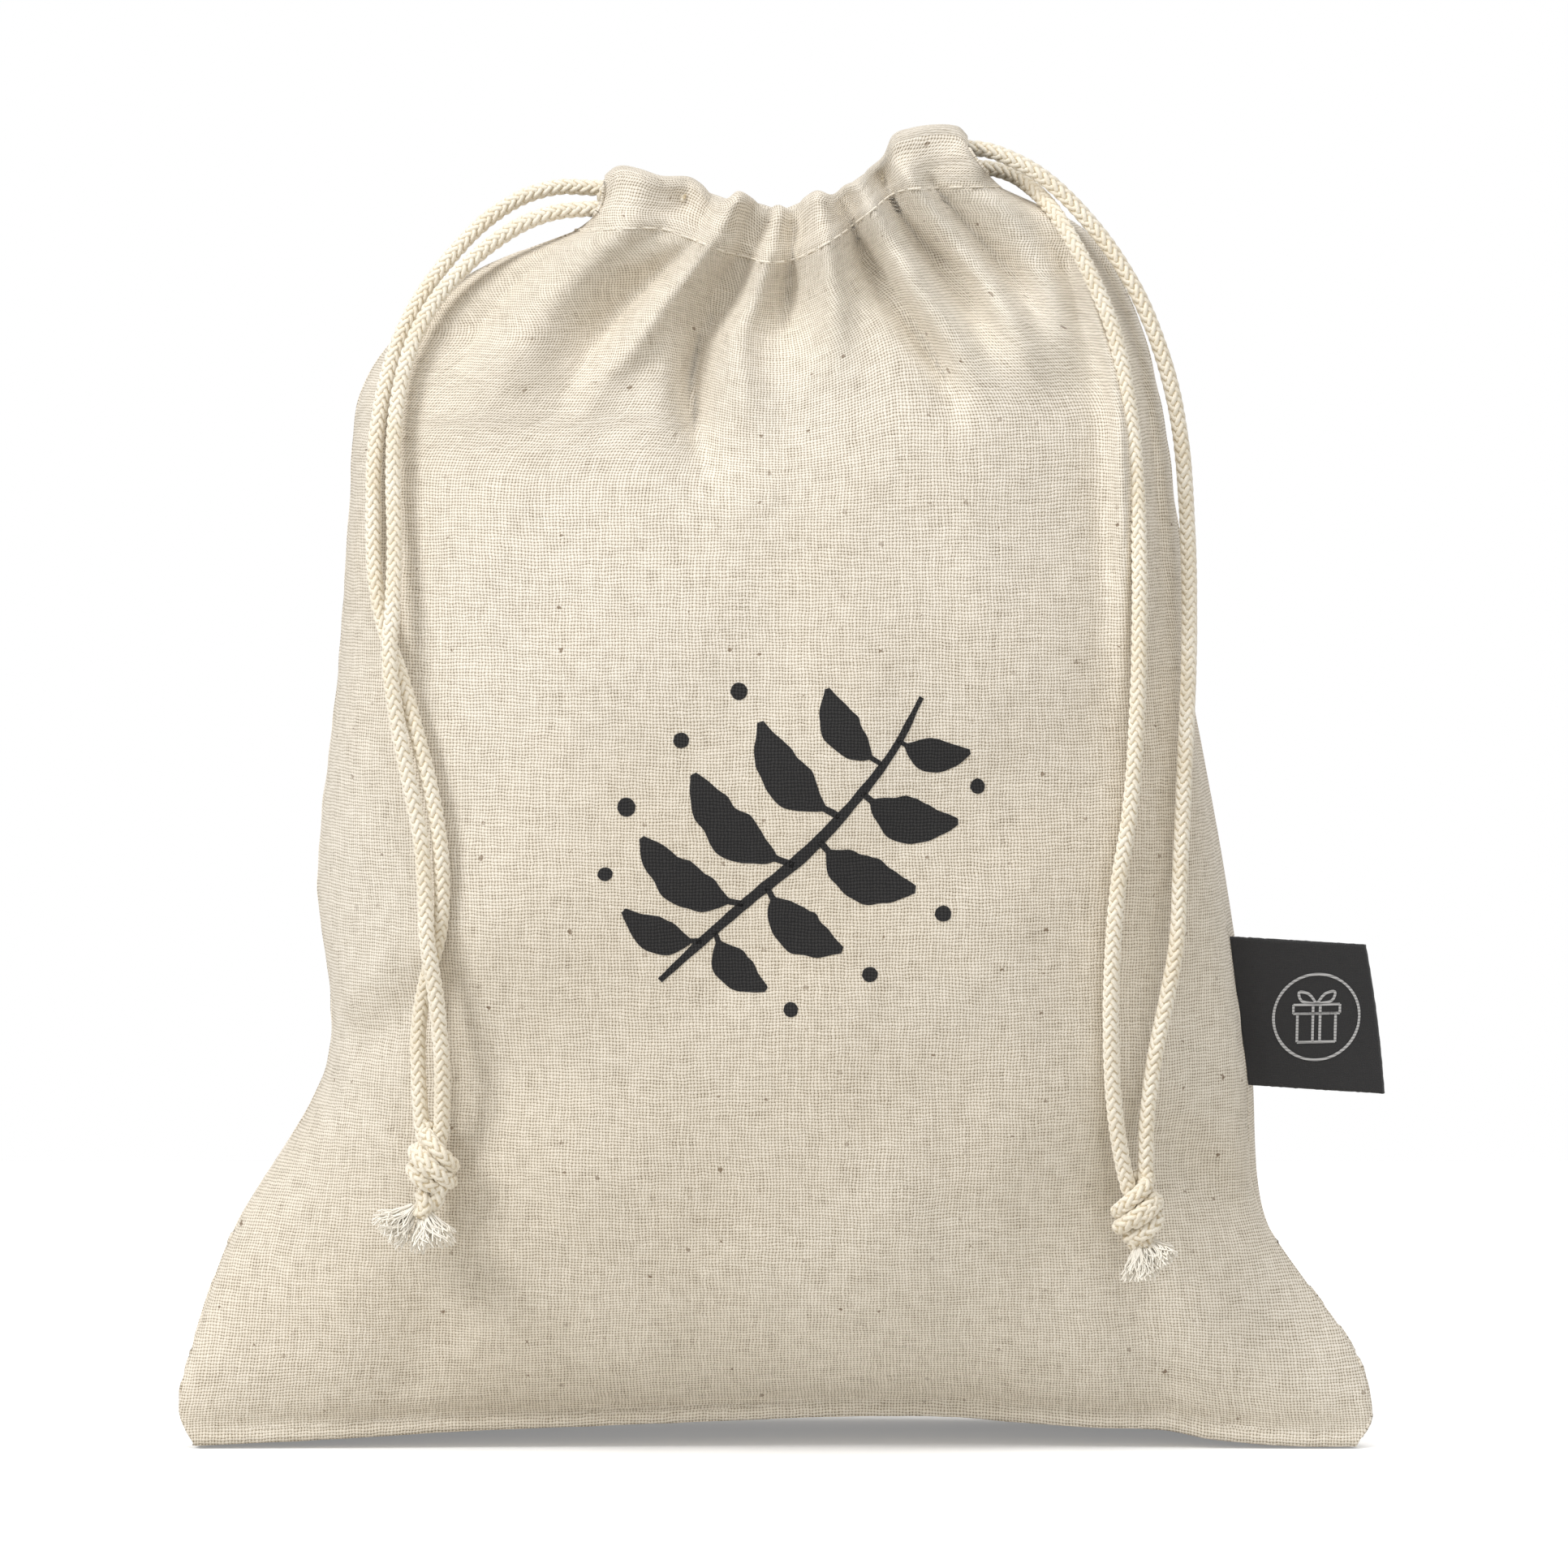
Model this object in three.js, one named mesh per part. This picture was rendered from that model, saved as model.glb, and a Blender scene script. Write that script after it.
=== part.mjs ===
// Fabric gift sack with two drawcords, standing on its base.
// Millimetres, +Z up, front towards -Y. The origin is on the floor, on the flat of the base.
import * as THREE from 'three';
import { mergeVertices } from 'three/addons/utils/BufferGeometryUtils.js';

// ---- Driving dimensions ----
const wall = 1.0;                 // thickness that stands for one layer of cloth
const gap = 0.3;                  // clearance between neighbouring pieces
const seamGap = 1.8;              // room between the two panels for the turned-in seam
const seamWidth = 7;              // depth of the turned-in seam allowance
const nominalTop = 198;           // nominal height of the stitch line under the channel
const channelDepth = 10;          // height of the cord channel
const channelThickness = 5.6;     // outside thickness of the cord channel
const channelInner = 3.8;         // clear thickness inside the channel
const mouthGap = 6.4;             // slot between the front and back channels
const cordDiameter = 2.6;
const cordSides = 8;
const cordGap = 0.9;              // clearance between one stretch of cord and the next
const lipHalf = 14;               // half length of the middle stretch of each channel
const earStart = 20;              // where the channels have closed up towards the ends
const earGap = 2;                 // slot between the channels at their ends
const channelEnd = 30;            // half length of each gathered channel
const rootEnd = 31;               // where the free cord starts, just outside the channel
const rootLevelAt = 27;           // place along X whose height the cord's straight end takes
const slotOffset = 1.7;           // a cord's height above or below the channel's middle
const labelReach = 21.5;          // how far the folded label stands out of the seam
const labelPly = 0.45;            // thickness of the label ribbon
const labelSpan = [59.6, 84.6];   // heights between which the label is sewn in
const labelClearance = 1.2;       // from the seam's edge to the label's open end
const labelY = -1.4;
const labelSlit = 0.35;           // half of the room between the label's two plies
const labelDroop = 0.19;          // how far the label sinks for each millimetre away from the seam
const gatherFrom = 150;           // height where the gathers begin
const pleats = 6;                 // gathers across each panel
const pleatDepth = 0.7;
const crowding = [0.75, 0.147];   // how columns crowd towards a side seam, with fullness
const seamEnds = [1.5, 3];        // how far a side seam stops short of the floor and the channel
const squareness = 0.6;           // below 1 a channel's section has squarer corners
const groove = { depth: 0.09, wraps: 3, twist: 2.2 };   // wrap of the cord pressed into a knot
const rootPoints = 2;             // points of a free cord's route that slide with its root

// Height, left and right half-widths, front and back depths, side seam depth, fullness.
const stations = [
  { z: 0, left: 97, right: 97, front: -9, back: 28, seam: -15, full: 1.0 },
  { z: 6, left: 99.5, right: 99.5, front: -20, back: 31, seam: -14, full: 1.5 },
  { z: 16, left: 97.5, right: 96.5, front: -28, back: 34, seam: -12, full: 1.7 },
  { z: 36, left: 90.5, right: 83.5, front: -35, back: 37, seam: -7, full: 1.5 },
  { z: 64, left: 75, right: 80.8, front: -39, back: 38.5, seam: -2, full: 0.95 },
  { z: 95, left: 76.6, right: 76.4, front: -40, back: 39, seam: 0, full: 0.7 },
  { z: 130, left: 73, right: 70, front: -38, back: 36, seam: 0, full: 0.62 },
  { z: 158, left: 71, right: 66.5, front: -31, back: 30, seam: 0, full: 0.66 },
  { z: 174, left: 69, right: 63, front: -24, back: 23.5, seam: 0, full: 0.72 },
  { z: 185, left: 60, right: 57.5, front: -17.5, back: 17.5, seam: 0, full: 0.8 },
  { z: 192, left: 49.5, right: 51, front: -12.8, back: 12.8, seam: 0, full: 0.9 },
  { z: nominalTop, left: 34, right: 38, front: -10.6, back: 10.6, seam: 0, full: 1.0 },
];

// Height of the channel's top edge along X.
const topEdge = [
  [-31, 213.0], [-20, 213.4], [-14, 211.6], [-6, 208.8], [2, 208.0],
  [11, 212.6], [20, 219.4], [26, 220.0], [33, 220.2],
];

const colours = { cloth: 0xe6dcc6, hem: 0xdfd4bc, cord: 0xe9dcc0, thread: 0xf4f0e6, tuft: 0xf3eee2, label: 0x1d1d1f };

// ---- Small helpers ----
const clamp01 = (t) => Math.min(1, Math.max(0, t));
const smooth = (a, b, t) => { const k = clamp01((t - a) / (b - a)); return k * k * (3 - 2 * k); };

const spread = (from, to, count) => (
  Array.from({ length: count }, (_, i) => THREE.MathUtils.lerp(from, to, i / (count - 1))));

function material(colour, roughness = 0.9) {
  return new THREE.MeshStandardMaterial({ color: colour, roughness, metalness: 0 });
}

// Cubic curve through (t, value) pairs, flat outside them.
function through(pairs, t) {
  const last = pairs.length - 1;
  if (t <= pairs[0][0]) return pairs[0][1];
  if (t >= pairs[last][0]) return pairs[last][1];
  let i = 0;
  while (pairs[i + 1][0] < t) i += 1;
  const slope = (k) => {
    if (k === 0) return (pairs[1][1] - pairs[0][1]) / (pairs[1][0] - pairs[0][0]);
    if (k === last) return (pairs[last][1] - pairs[last - 1][1]) / (pairs[last][0] - pairs[last - 1][0]);
    return (pairs[k + 1][1] - pairs[k - 1][1]) / (pairs[k + 1][0] - pairs[k - 1][0]);
  };
  const [t0, p0] = pairs[i];
  const [t1, p1] = pairs[i + 1];
  const h = t1 - t0;
  const s = (t - t0) / h;
  return p0 * (1 + 2 * s) * (1 - s) ** 2 + p1 * s * s * (3 - 2 * s)
    + h * slope(i) * s * (1 - s) ** 2 + h * slope(i + 1) * s * s * (s - 1);
}

const profile = (key) => stations.map((row) => [row.z, row[key]]);
const keys = ['left', 'right', 'front', 'back', 'seam', 'full'];
const profiles = Object.fromEntries(keys.map((key) => [key, profile(key)]));
const topHeight = (x) => through(topEdge, x);

// ---- The sack's skin ----
// side is -1 for the front panel and +1 for the back; u runs from the left seam to the
// right one, level is the nominal height, and inset moves the skin inwards.
function skin(side, u, level, inset = 0) {
  const left = through(profiles.left, level) - inset;
  const right = through(profiles.right, level) - inset;
  const seam = through(profiles.seam, level);
  const depth = through(side < 0 ? profiles.front : profiles.back, level);
  const full = through(profiles.full, level);
  const angle = Math.PI * u;
  const across = -Math.sign(Math.cos(angle)) * Math.abs(Math.cos(angle)) ** (crowding[0] + crowding[1] * full);
  const x = across < 0 ? across * left : across * right;
  const rise = smooth(gatherFrom, nominalTop, level);
  const pleat = rise * pleatDepth * (1 - Math.cos(2 * pleats * Math.PI * u));
  const edge = seam + side * (seamGap / 2 + wall);
  const reach = Math.max(0, side * depth - side * edge);
  const y = edge + side * (reach * Math.sin(angle) ** full + pleat - inset);
  const lift = (topHeight(x) - channelDepth - gap - nominalTop) * rise;
  return new THREE.Vector3(x, y, level + lift);
}

// A closed sheet with thickness: outer and inner are functions of u and v from 0 to 1.
function closedSheet(stepsU, stepsV, outer, inner) {
  const positions = [];
  const quad = (a, b, c, d) => [a, b, c, a, c, d].forEach((p) => positions.push(p.x, p.y, p.z));
  for (let i = 0; i < stepsU; i += 1) {
    for (let j = 0; j < stepsV; j += 1) {
      const [u0, u1, v0, v1] = [i / stepsU, (i + 1) / stepsU, j / stepsV, (j + 1) / stepsV];
      quad(outer(u0, v0), outer(u1, v0), outer(u1, v1), outer(u0, v1));
      quad(inner(u0, v0), inner(u0, v1), inner(u1, v1), inner(u1, v0));
      if (i === 0) quad(outer(0, v0), outer(0, v1), inner(0, v1), inner(0, v0));
      if (i === stepsU - 1) quad(outer(1, v0), inner(1, v0), inner(1, v1), outer(1, v1));
      if (j === 0) quad(outer(u0, 0), inner(u0, 0), inner(u1, 0), outer(u1, 0));
      if (j === stepsV - 1) quad(outer(u0, 1), outer(u1, 1), inner(u1, 1), inner(u0, 1));
    }
  }
  return solid(positions);
}

// A sleeve open at both ends: outer and inner give a loop point from (angle, t).
function sleeve(stepsAround, stepsAlong, outer, inner) {
  const positions = [];
  const quad = (a, b, c, d) => [a, b, c, a, c, d].forEach((p) => positions.push(p.x, p.y, p.z));
  for (let j = 0; j < stepsAlong; j += 1) {
    const [t0, t1] = [j / stepsAlong, (j + 1) / stepsAlong];
    for (let i = 0; i < stepsAround; i += 1) {
      const [a0, a1] = [i, i + 1].map((k) => ((k % stepsAround) / stepsAround) * 2 * Math.PI);
      quad(outer(a0, t0), outer(a1, t0), outer(a1, t1), outer(a0, t1));
      quad(inner(a0, t0), inner(a0, t1), inner(a1, t1), inner(a1, t0));
      if (j === 0) quad(outer(a0, 0), inner(a0, 0), inner(a1, 0), outer(a1, 0));
      if (j === stepsAlong - 1) quad(outer(a0, 1), outer(a1, 1), inner(a1, 1), inner(a0, 1));
    }
  }
  return solid(positions);
}

// Triangles that face outwards, whichever way round they were listed.
function solid(positions) {
  let volume = 0;
  for (let i = 0; i < positions.length; i += 9) {
    const [ax, ay, az, bx, by, bz, cx, cy, cz] = positions.slice(i, i + 9);
    volume += ax * (by * cz - bz * cy) + ay * (bz * cx - bx * cz) + az * (bx * cy - by * cx);
  }
  if (volume < 0) {
    for (let i = 0; i < positions.length; i += 9) {
      for (let k = 0; k < 3; k += 1) {
        [positions[i + 3 + k], positions[i + 6 + k]] = [positions[i + 6 + k], positions[i + 3 + k]];
      }
    }
  }
  const geometry = new THREE.BufferGeometry();
  geometry.setAttribute('position', new THREE.Float32BufferAttribute(positions, 3));
  return mergeVertices(geometry, 1e-4);
}

function piece(name, geometry, colour) {
  const mesh = new THREE.Mesh(geometry, material(colour));
  mesh.name = name;
  return mesh;
}

const vector = ([x, y, z]) => new THREE.Vector3(x, y, z);

// Round cord along a smooth curve through the points.
function cord(name, points, steps, diameter = cordDiameter, colour = colours.cord, sides = cordSides) {
  const circle = new THREE.Shape();
  for (let i = 0; i < sides; i += 1) {
    const angle = (i / sides) * 2 * Math.PI;
    const [x, y] = [Math.cos(angle) * diameter / 2, Math.sin(angle) * diameter / 2];
    if (i === 0) circle.moveTo(x, y);
    else circle.lineTo(x, y);
  }
  circle.closePath();
  const path = new THREE.CatmullRomCurve3(points.map(vector), false, 'centripetal');
  const geometry = new THREE.ExtrudeGeometry(circle, { steps, bevelEnabled: false, extrudePath: path });
  return piece(name, geometry, colour);
}

// ---- Cloth panels ----
function frontPanel() {
  return piece('front_panel', closedSheet(34, 20,
    (u, v) => skin(-1, u, nominalTop * v),
    (u, v) => skin(-1, u, nominalTop * v, wall)), colours.cloth);
}

// The back panel turns under the sack and makes the flat that it stands on.
function backPanel() {
  const underRows = 2;
  const rows = 22;
  const under = underRows / rows;
  const place = (u, v, inset) => {
    if (v >= under) {
      const floorPly = inset * smooth(1, 0.8, v);
      return skin(1, u, nominalTop * (v - under) / (1 - under) + floorPly, inset);
    }
    const rear = skin(1, u, 0, inset);
    const fore = skin(-1, u, 0, 0);
    const foreY = Math.min(fore.y + wall + seamGap, rear.y);
    return new THREE.Vector3(rear.x, THREE.MathUtils.lerp(foreY, rear.y, v / under), inset);
  };
  return piece('back_panel', closedSheet(34, rows,
    (u, v) => place(u, v, 0),
    (u, v) => place(u, v, wall)), colours.cloth);
}

// Turned-in allowance of a side seam; its outer edge shows between the panels.
function sideSeam(name, u, inward) {
  const half = seamGap / 2 - gap;
  const point = (across, v, offset) => {
    const level = THREE.MathUtils.lerp(seamEnds[0], nominalTop - seamEnds[1], v);
    const edge = skin(-1, u, level);
    const seam = through(profiles.seam, level);
    return new THREE.Vector3(edge.x + inward * across * seamWidth, seam + offset, edge.z);
  };
  return piece(name, closedSheet(1, 18, (s, v) => point(s, v, -half), (s, v) => point(s, v, half)), colours.hem);
}

function bottomSeam() {
  const half = seamGap / 2 - gap;
  const margin = 0.13;
  const point = (u, v, offset) => {
    const level = gap + v * seamWidth * 0.8;
    const edge = skin(-1, margin + u * (1 - 2 * margin), 0);
    return new THREE.Vector3(edge.x, through(profiles.seam, level) + offset, level);
  };
  return piece('bottom_seam', closedSheet(20, 1, (u, v) => point(u, v, -half), (u, v) => point(u, v, half)), colours.hem);
}

// ---- Cord channels ----
// Middle of a channel at x: the front and back channels close up towards the ends.
function channelMiddle(side, x) {
  const open = mouthGap / 2 + channelThickness / 2;
  const closed = earGap / 2 + channelThickness / 2;
  const y = THREE.MathUtils.lerp(open, closed, smooth(lipHalf, earStart, Math.abs(x)));
  return new THREE.Vector3(x, side * y, topHeight(x) - channelDepth / 2);
}

function channel(name, side, from, to, steps) {
  const loop = (width, height) => (angle, t) => {
    const middle = channelMiddle(side, THREE.MathUtils.lerp(from, to, t));
    const [c, s] = [Math.cos(angle), Math.sin(angle)];
    middle.y += Math.sign(c) * Math.abs(c) ** squareness * width / 2;
    middle.z += Math.sign(s) * Math.abs(s) ** squareness * height / 2;
    return middle;
  };
  const walls = channelThickness - channelInner;
  return piece(name, sleeve(12, steps, loop(channelThickness, channelDepth),
    loop(channelInner, channelDepth - walls)), colours.cloth);
}

// Row of stitches that closes a channel along its lower edge.
function stitchRow(name, side, from, to) {
  const points = spread(from, to, 5).map((x) => {
    const middle = channelMiddle(side, x);
    return [x, middle.y + side * (channelThickness / 2 + 0.6), middle.z - channelDepth / 2 + 1.2];
  });
  return cord(name, points, 6, 0.5, colours.thread, 6);
}

// A cord's centre inside a channel; slot is +1 for the upper and -1 for the lower one.
function slotPoint(side, slot, x) {
  const middle = channelMiddle(side, x);
  return [middle.x, middle.y, middle.z + slot * slotOffset];
}

function cordRun(name, side, slot, from, to) {
  return cord(name, spread(from, to, 4).map((x) => slotPoint(side, slot, x)), 4);
}

// End of a cord that slides in the channel's mouth, as far as the first points of its route.
function cordRoot(name, side, slot, sign, route) {
  const [, y, z] = slotPoint(side, slot, sign * rootLevelAt);
  const straight = spread(sign * (earStart + 1), sign * rootEnd, 3).map((x) => [x, y, z]);
  return cord(name, [...straight, ...route.slice(1, rootPoints)], 6);
}

// The rest of the route, which lifts with the tail.
function freeStrand(name, route) {
  const from = vector(route[rootPoints - 1]);
  const to = vector(route[rootPoints]);
  const start = from.clone().lerp(to, cordGap / from.distanceTo(to));
  return cord(name, [start.toArray(), ...route.slice(rootPoints)], 43);
}

// The turn that a drawcord makes from the front channel to the back one, at the far end.
function cordTurn(name, sign) {
  const front = slotPoint(-1, -sign, sign * channelEnd);
  const back = slotPoint(1, sign, sign * channelEnd);
  const bend = [[0.3, 1, 0], [1.7, 0.62, 0.06], [2.6, 0, 0.5], [1.7, -0.62, 0.94], [0.3, -1, 1]];
  const straight = channelEnd - 0.8;
  return cord(name, [[sign * straight, front[1], front[2]],
    ...bend.map(([out, y, t]) => [sign * (channelEnd + out), y * front[1], THREE.MathUtils.lerp(front[2], back[2], t)]),
    [sign * straight, back[1], back[2]]], 12);
}

// ---- Free cords: routes from the channel's mouth down to the knot ----
const routes = {
  left_cord_back: [
    [-31.3, 3.8, 210.0], [-35.5, 3.4, 210.2], [-40.2, 2.2, 209.3], [-44.6, 0.4, 207.3], [-49.2, -1.6, 203.9],
    [-53.6, -3.8, 199.4], [-57.6, -6.6, 194.2], [-60.9, -9.4, 188.8], [-63.4, -12.2, 182.6], [-65.2, -15.0, 175.8],
    [-66.4, -18.0, 167.0], [-66.6, -20.8, 157.0], [-66.2, -24.0, 146.0], [-64.6, -26.8, 138.0],
    [-61.9, -30.2, 130.4], [-59.4, -32.6, 121.9], [-57.2, -34.0, 113.5], [-55.4, -35.0, 104.0], [-54.9, -35.2, 94.8],
    [-55.4, -34.6, 88.0], [-57.6, -33.2, 80.0], [-58.9, -32.8, 72.2], [-58.9, -32.8, 63.3], [-58.3, -33.0, 55.4]],
  left_cord_front: [
    [-31.3, -3.8, 206.6], [-36.0, -4.4, 206.2], [-41.2, -5.4, 204.6], [-46.6, -7.0, 201.4], [-52.2, -9.2, 196.6],
    [-56.6, -11.8, 191.4], [-59.8, -14.6, 185.6], [-61.8, -17.2, 179.2], [-63.0, -20.0, 171.4], [-63.2, -22.8, 162.0],
    [-62.9, -26.0, 151.0], [-63.2, -29.6, 140.6], [-63.6, -32.2, 133.0], [-62.2, -34.0, 122.3],
    [-60.2, -35.0, 112.6], [-58.3, -35.6, 103.0], [-57.7, -36.2, 94.8], [-57.3, -37.0, 86.7], [-55.8, -36.6, 76.6],
    [-55.0, -35.6, 66.0], [-55.2, -33.8, 55.6]],
  right_cord_front: [
    [31.3, -3.8, 216.8], [35.4, -4.2, 216.4], [39.6, -4.8, 214.8], [43.6, -5.4, 212.6], [47.6, -6.2, 209.4],
    [51.6, -7.2, 205.2], [56.0, -8.6, 199.6], [60.2, -10.2, 192.6], [63.4, -11.6, 185.0], [65.8, -12.8, 177.0],
    [67.4, -13.8, 168.0], [68.2, -14.8, 158.0], [68.6, -17.6, 146.0], [68.4, -22.6, 131.0], [67.6, -27.4, 115.0],
    [66.8, -30.2, 98.0], [66.2, -31.4, 86.0], [64.6, -31.8, 77.0], [62.6, -31.8, 67.0], [61.4, -31.2, 57.0],
    [61.1, -30.2, 46.8]],
  right_cord_back: [
    [31.3, 3.8, 213.4], [35.6, 3.0, 213.3], [39.6, 1.0, 212.2], [43.0, -2.4, 209.8], [46.2, -6.8, 206.4],
    [49.4, -10.8, 201.4], [52.2, -13.4, 196.0], [54.6, -15.0, 190.6], [56.6, -16.6, 184.6], [58.2, -18.6, 176.6],
    [59.4, -21.2, 166.6], [60.0, -24.4, 155.0], [60.1, -28.4, 140.4], [59.6, -31.8, 124.0], [58.4, -34.0, 108.0],
    [56.6, -35.2, 97.0], [55.6, -35.4, 86.0], [55.3, -34.6, 71.0], [56.1, -32.8, 57.6], [57.9, -31.0, 47.2]],
};

// ---- Knots and frayed ends ----
const knots = {
  left: { centre: [-56.6, -33.4, 50.2], radii: [4.7, 4.1, 4.7] },
  right: { centre: [59.7, -30.6, 41.7], radii: [4.4, 4.1, 4.8] },
};

// Overhand knot: a lumpy ball with the wrap of the cord pressed into it.
function knot(name, { centre, radii }) {
  const geometry = new THREE.SphereGeometry(1, 16, 10);
  const position = geometry.attributes.position;
  for (let i = 0; i < position.count; i += 1) {
    const p = new THREE.Vector3().fromBufferAttribute(position, i);
    const wave = 1 + Math.cos(groove.wraps * Math.atan2(p.z, p.x) + groove.twist * p.y);
    p.multiplyScalar(1 - groove.depth * wave * (1 - p.y * p.y));
    position.setXYZ(i, p.x * radii[0] + centre[0], p.y * radii[1] + centre[1], p.z * radii[2] + centre[2]);
  }
  geometry.deleteAttribute('normal');
  geometry.deleteAttribute('uv');
  return piece(name, mergeVertices(geometry, 1e-4), colours.cord);
}

// Frayed end: a bundle that widens from the cord to its brush of fibres.
function frayedEnd(name, from, to, spreadRadius) {
  const length = vector(to).distanceTo(vector(from));
  const profilePoints = [[0, 0], [1.2, 0], [1.35, length * 0.35], [spreadRadius, length * 0.85], [0, length]];
  const geometry = new THREE.LatheGeometry(profilePoints.map(([r, h]) => new THREE.Vector2(r, h)), 10);
  geometry.deleteAttribute('normal');
  geometry.deleteAttribute('uv');
  const mesh = piece(name, mergeVertices(geometry, 1e-4), colours.tuft);
  mesh.quaternion.setFromUnitVectors(new THREE.Vector3(0, 1, 0), vector(to).sub(vector(from)).normalize());
  mesh.position.set(...from);
  return mesh;
}

// ---- Folded side label ----
// A ribbon folded in two, with its open ends at the seam.
function sideLabel() {
  const [low, high] = labelSpan;
  const foot = skin(-1, 1, low);
  const head = skin(-1, 1, high);
  const along = head.clone().sub(foot).setY(0).normalize();
  const half = labelPly + labelSlit;
  const tip = labelReach - half;
  const outline = new THREE.Shape();
  outline.moveTo(0, -half);
  outline.lineTo(tip, -half);
  outline.absarc(tip, 0, half, -Math.PI / 2, Math.PI / 2, false);
  outline.lineTo(0, half);
  outline.lineTo(0, labelSlit);
  outline.lineTo(tip, labelSlit);
  outline.lineTo(tip, -labelSlit);
  outline.lineTo(0, -labelSlit);
  outline.closePath();
  const geometry = new THREE.ExtrudeGeometry(outline, { depth: high - low, bevelEnabled: false, curveSegments: 3 });
  geometry.applyMatrix4(new THREE.Matrix4().set(
    1, 0, 0, 0,
    0, 1, 0, 0,
    -labelDroop, 0, 1, 0,
    0, 0, 0, 1));
  const mesh = piece('side_label', geometry, colours.label);
  mesh.rotation.y = Math.atan2(along.x, along.z);
  mesh.position.set(foot.x + labelClearance, labelY, low);
  return mesh;
}

// ---- Assembly ----
const sack = new THREE.Group();
sack.add(frontPanel(), backPanel());
sack.add(sideSeam('left_seam', 0, 1), sideSeam('right_seam', 1, -1), bottomSeam());

const sides = { front: -1, back: 1 };
const stretches = {
  left: [-channelEnd, -lipHalf - gap], middle: [-lipHalf, lipHalf], right: [lipHalf + gap, channelEnd],
};
for (const [sideName, side] of Object.entries(sides)) {
  for (const [where, [from, to]] of Object.entries(stretches)) {
    sack.add(channel(`${sideName}_channel_${where}`, side, from, to, where === 'middle' ? 8 : 6));
    sack.add(stitchRow(`${sideName}_stitching_${where}`, side, from + gap, to - gap));
  }
}

// Each drawcord lies in one slot of each channel, and turns round at its far end.
for (const [cordName, sign] of [['left', -1], ['right', 1]]) {
  for (const [sideName, side] of Object.entries(sides)) {
    const slot = -side * sign;
    const name = `${cordName}_cord_${sideName}`;
    sack.add(cordRun(`${name}_near`, side, slot, sign * (lipHalf + cordGap), sign * (earStart + 1 - cordGap)));
    sack.add(cordRun(`${name}_middle`, side, slot, -lipHalf + cordGap, lipHalf - cordGap));
    sack.add(cordRun(`${name}_far`, side, slot, -sign * (lipHalf + cordGap), -sign * (channelEnd - 1.3)));
    sack.add(cordRoot(`${name}_root`, side, slot, sign, routes[name]));
    sack.add(freeStrand(`${name}_strand`, routes[name]));
  }
  sack.add(cordTurn(`${cordName}_cord_turn`, -sign));
  sack.add(knot(`${cordName}_knot`, knots[cordName]));
}
sack.add(frayedEnd('left_frayed_end_outer', [-58.2, -34.0, 45.0], [-62.4, -35.0, 36.4], 2.6));
sack.add(frayedEnd('left_frayed_end_inner', [-55.0, -34.0, 45.0], [-54.8, -35.2, 35.8], 2.4));
sack.add(frayedEnd('right_frayed_end_outer', [61.6, -30.8, 36.8], [64.4, -31.8, 31.6], 2.2));
sack.add(frayedEnd('right_frayed_end_inner', [58.9, -30.8, 36.4], [58.0, -31.8, 29.4], 2.2));
sack.add(sideLabel());

export default sack;
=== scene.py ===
import math
import bmesh
import bpy
import numpy as np
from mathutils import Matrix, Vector, noise
from mathutils.bvhtree import BVHTree


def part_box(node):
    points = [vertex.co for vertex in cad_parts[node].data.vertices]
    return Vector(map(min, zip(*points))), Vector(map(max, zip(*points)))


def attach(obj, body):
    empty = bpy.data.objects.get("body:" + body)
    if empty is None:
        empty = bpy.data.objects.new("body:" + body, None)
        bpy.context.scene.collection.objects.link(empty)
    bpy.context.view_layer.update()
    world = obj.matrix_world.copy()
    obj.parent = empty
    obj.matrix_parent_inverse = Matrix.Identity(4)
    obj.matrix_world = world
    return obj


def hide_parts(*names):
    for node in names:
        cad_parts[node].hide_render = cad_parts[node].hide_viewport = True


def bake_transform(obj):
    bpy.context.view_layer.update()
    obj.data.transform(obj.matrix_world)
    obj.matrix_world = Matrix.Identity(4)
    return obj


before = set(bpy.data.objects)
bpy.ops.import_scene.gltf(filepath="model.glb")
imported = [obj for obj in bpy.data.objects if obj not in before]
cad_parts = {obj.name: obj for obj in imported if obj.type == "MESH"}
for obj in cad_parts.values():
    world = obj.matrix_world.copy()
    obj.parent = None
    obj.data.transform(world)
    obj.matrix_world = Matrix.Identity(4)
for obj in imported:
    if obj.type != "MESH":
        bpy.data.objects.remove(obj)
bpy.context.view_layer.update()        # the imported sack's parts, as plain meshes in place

mm = 0.001
frontLow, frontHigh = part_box("front_panel")
unit = (frontHigh[0] - frontLow[0]) / 198.1      # one millimetre of the sack, in metres
print("frame loaded, one unit is", round(unit * 1000, 4), "mm")


# ---------------------------------------------------------------- camera, floor and light
studio = {
    "distance": 1.9, "elevation": 4.0, "fieldWidth": 0.2629, "lookAt": (0.0014, 0.0, 0.1102),
    "floorSize": 0.9, "floorColour": (0.95, 0.95, 0.95), "bounceColour": (0.72, 0.70, 0.66),
    "roomColour": (1.0, 0.99, 0.985),
    "roomStrength": 0.47, "floorGlow": 0.25,
    # name, place, side of the square and power
    "lamps": [("keyLamp", (-1.2, -0.85, 1.05), 0.55, 17.0), ("fillLamp", (0.9, -1.5, 0.6), 1.2, 2.8),
        ("topLamp", (0.05, -0.45, 1.5), 0.9, 9.5), ("backLamp", (0.6, 1.5, 0.8), 1.2, 8.0)],
}


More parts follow.
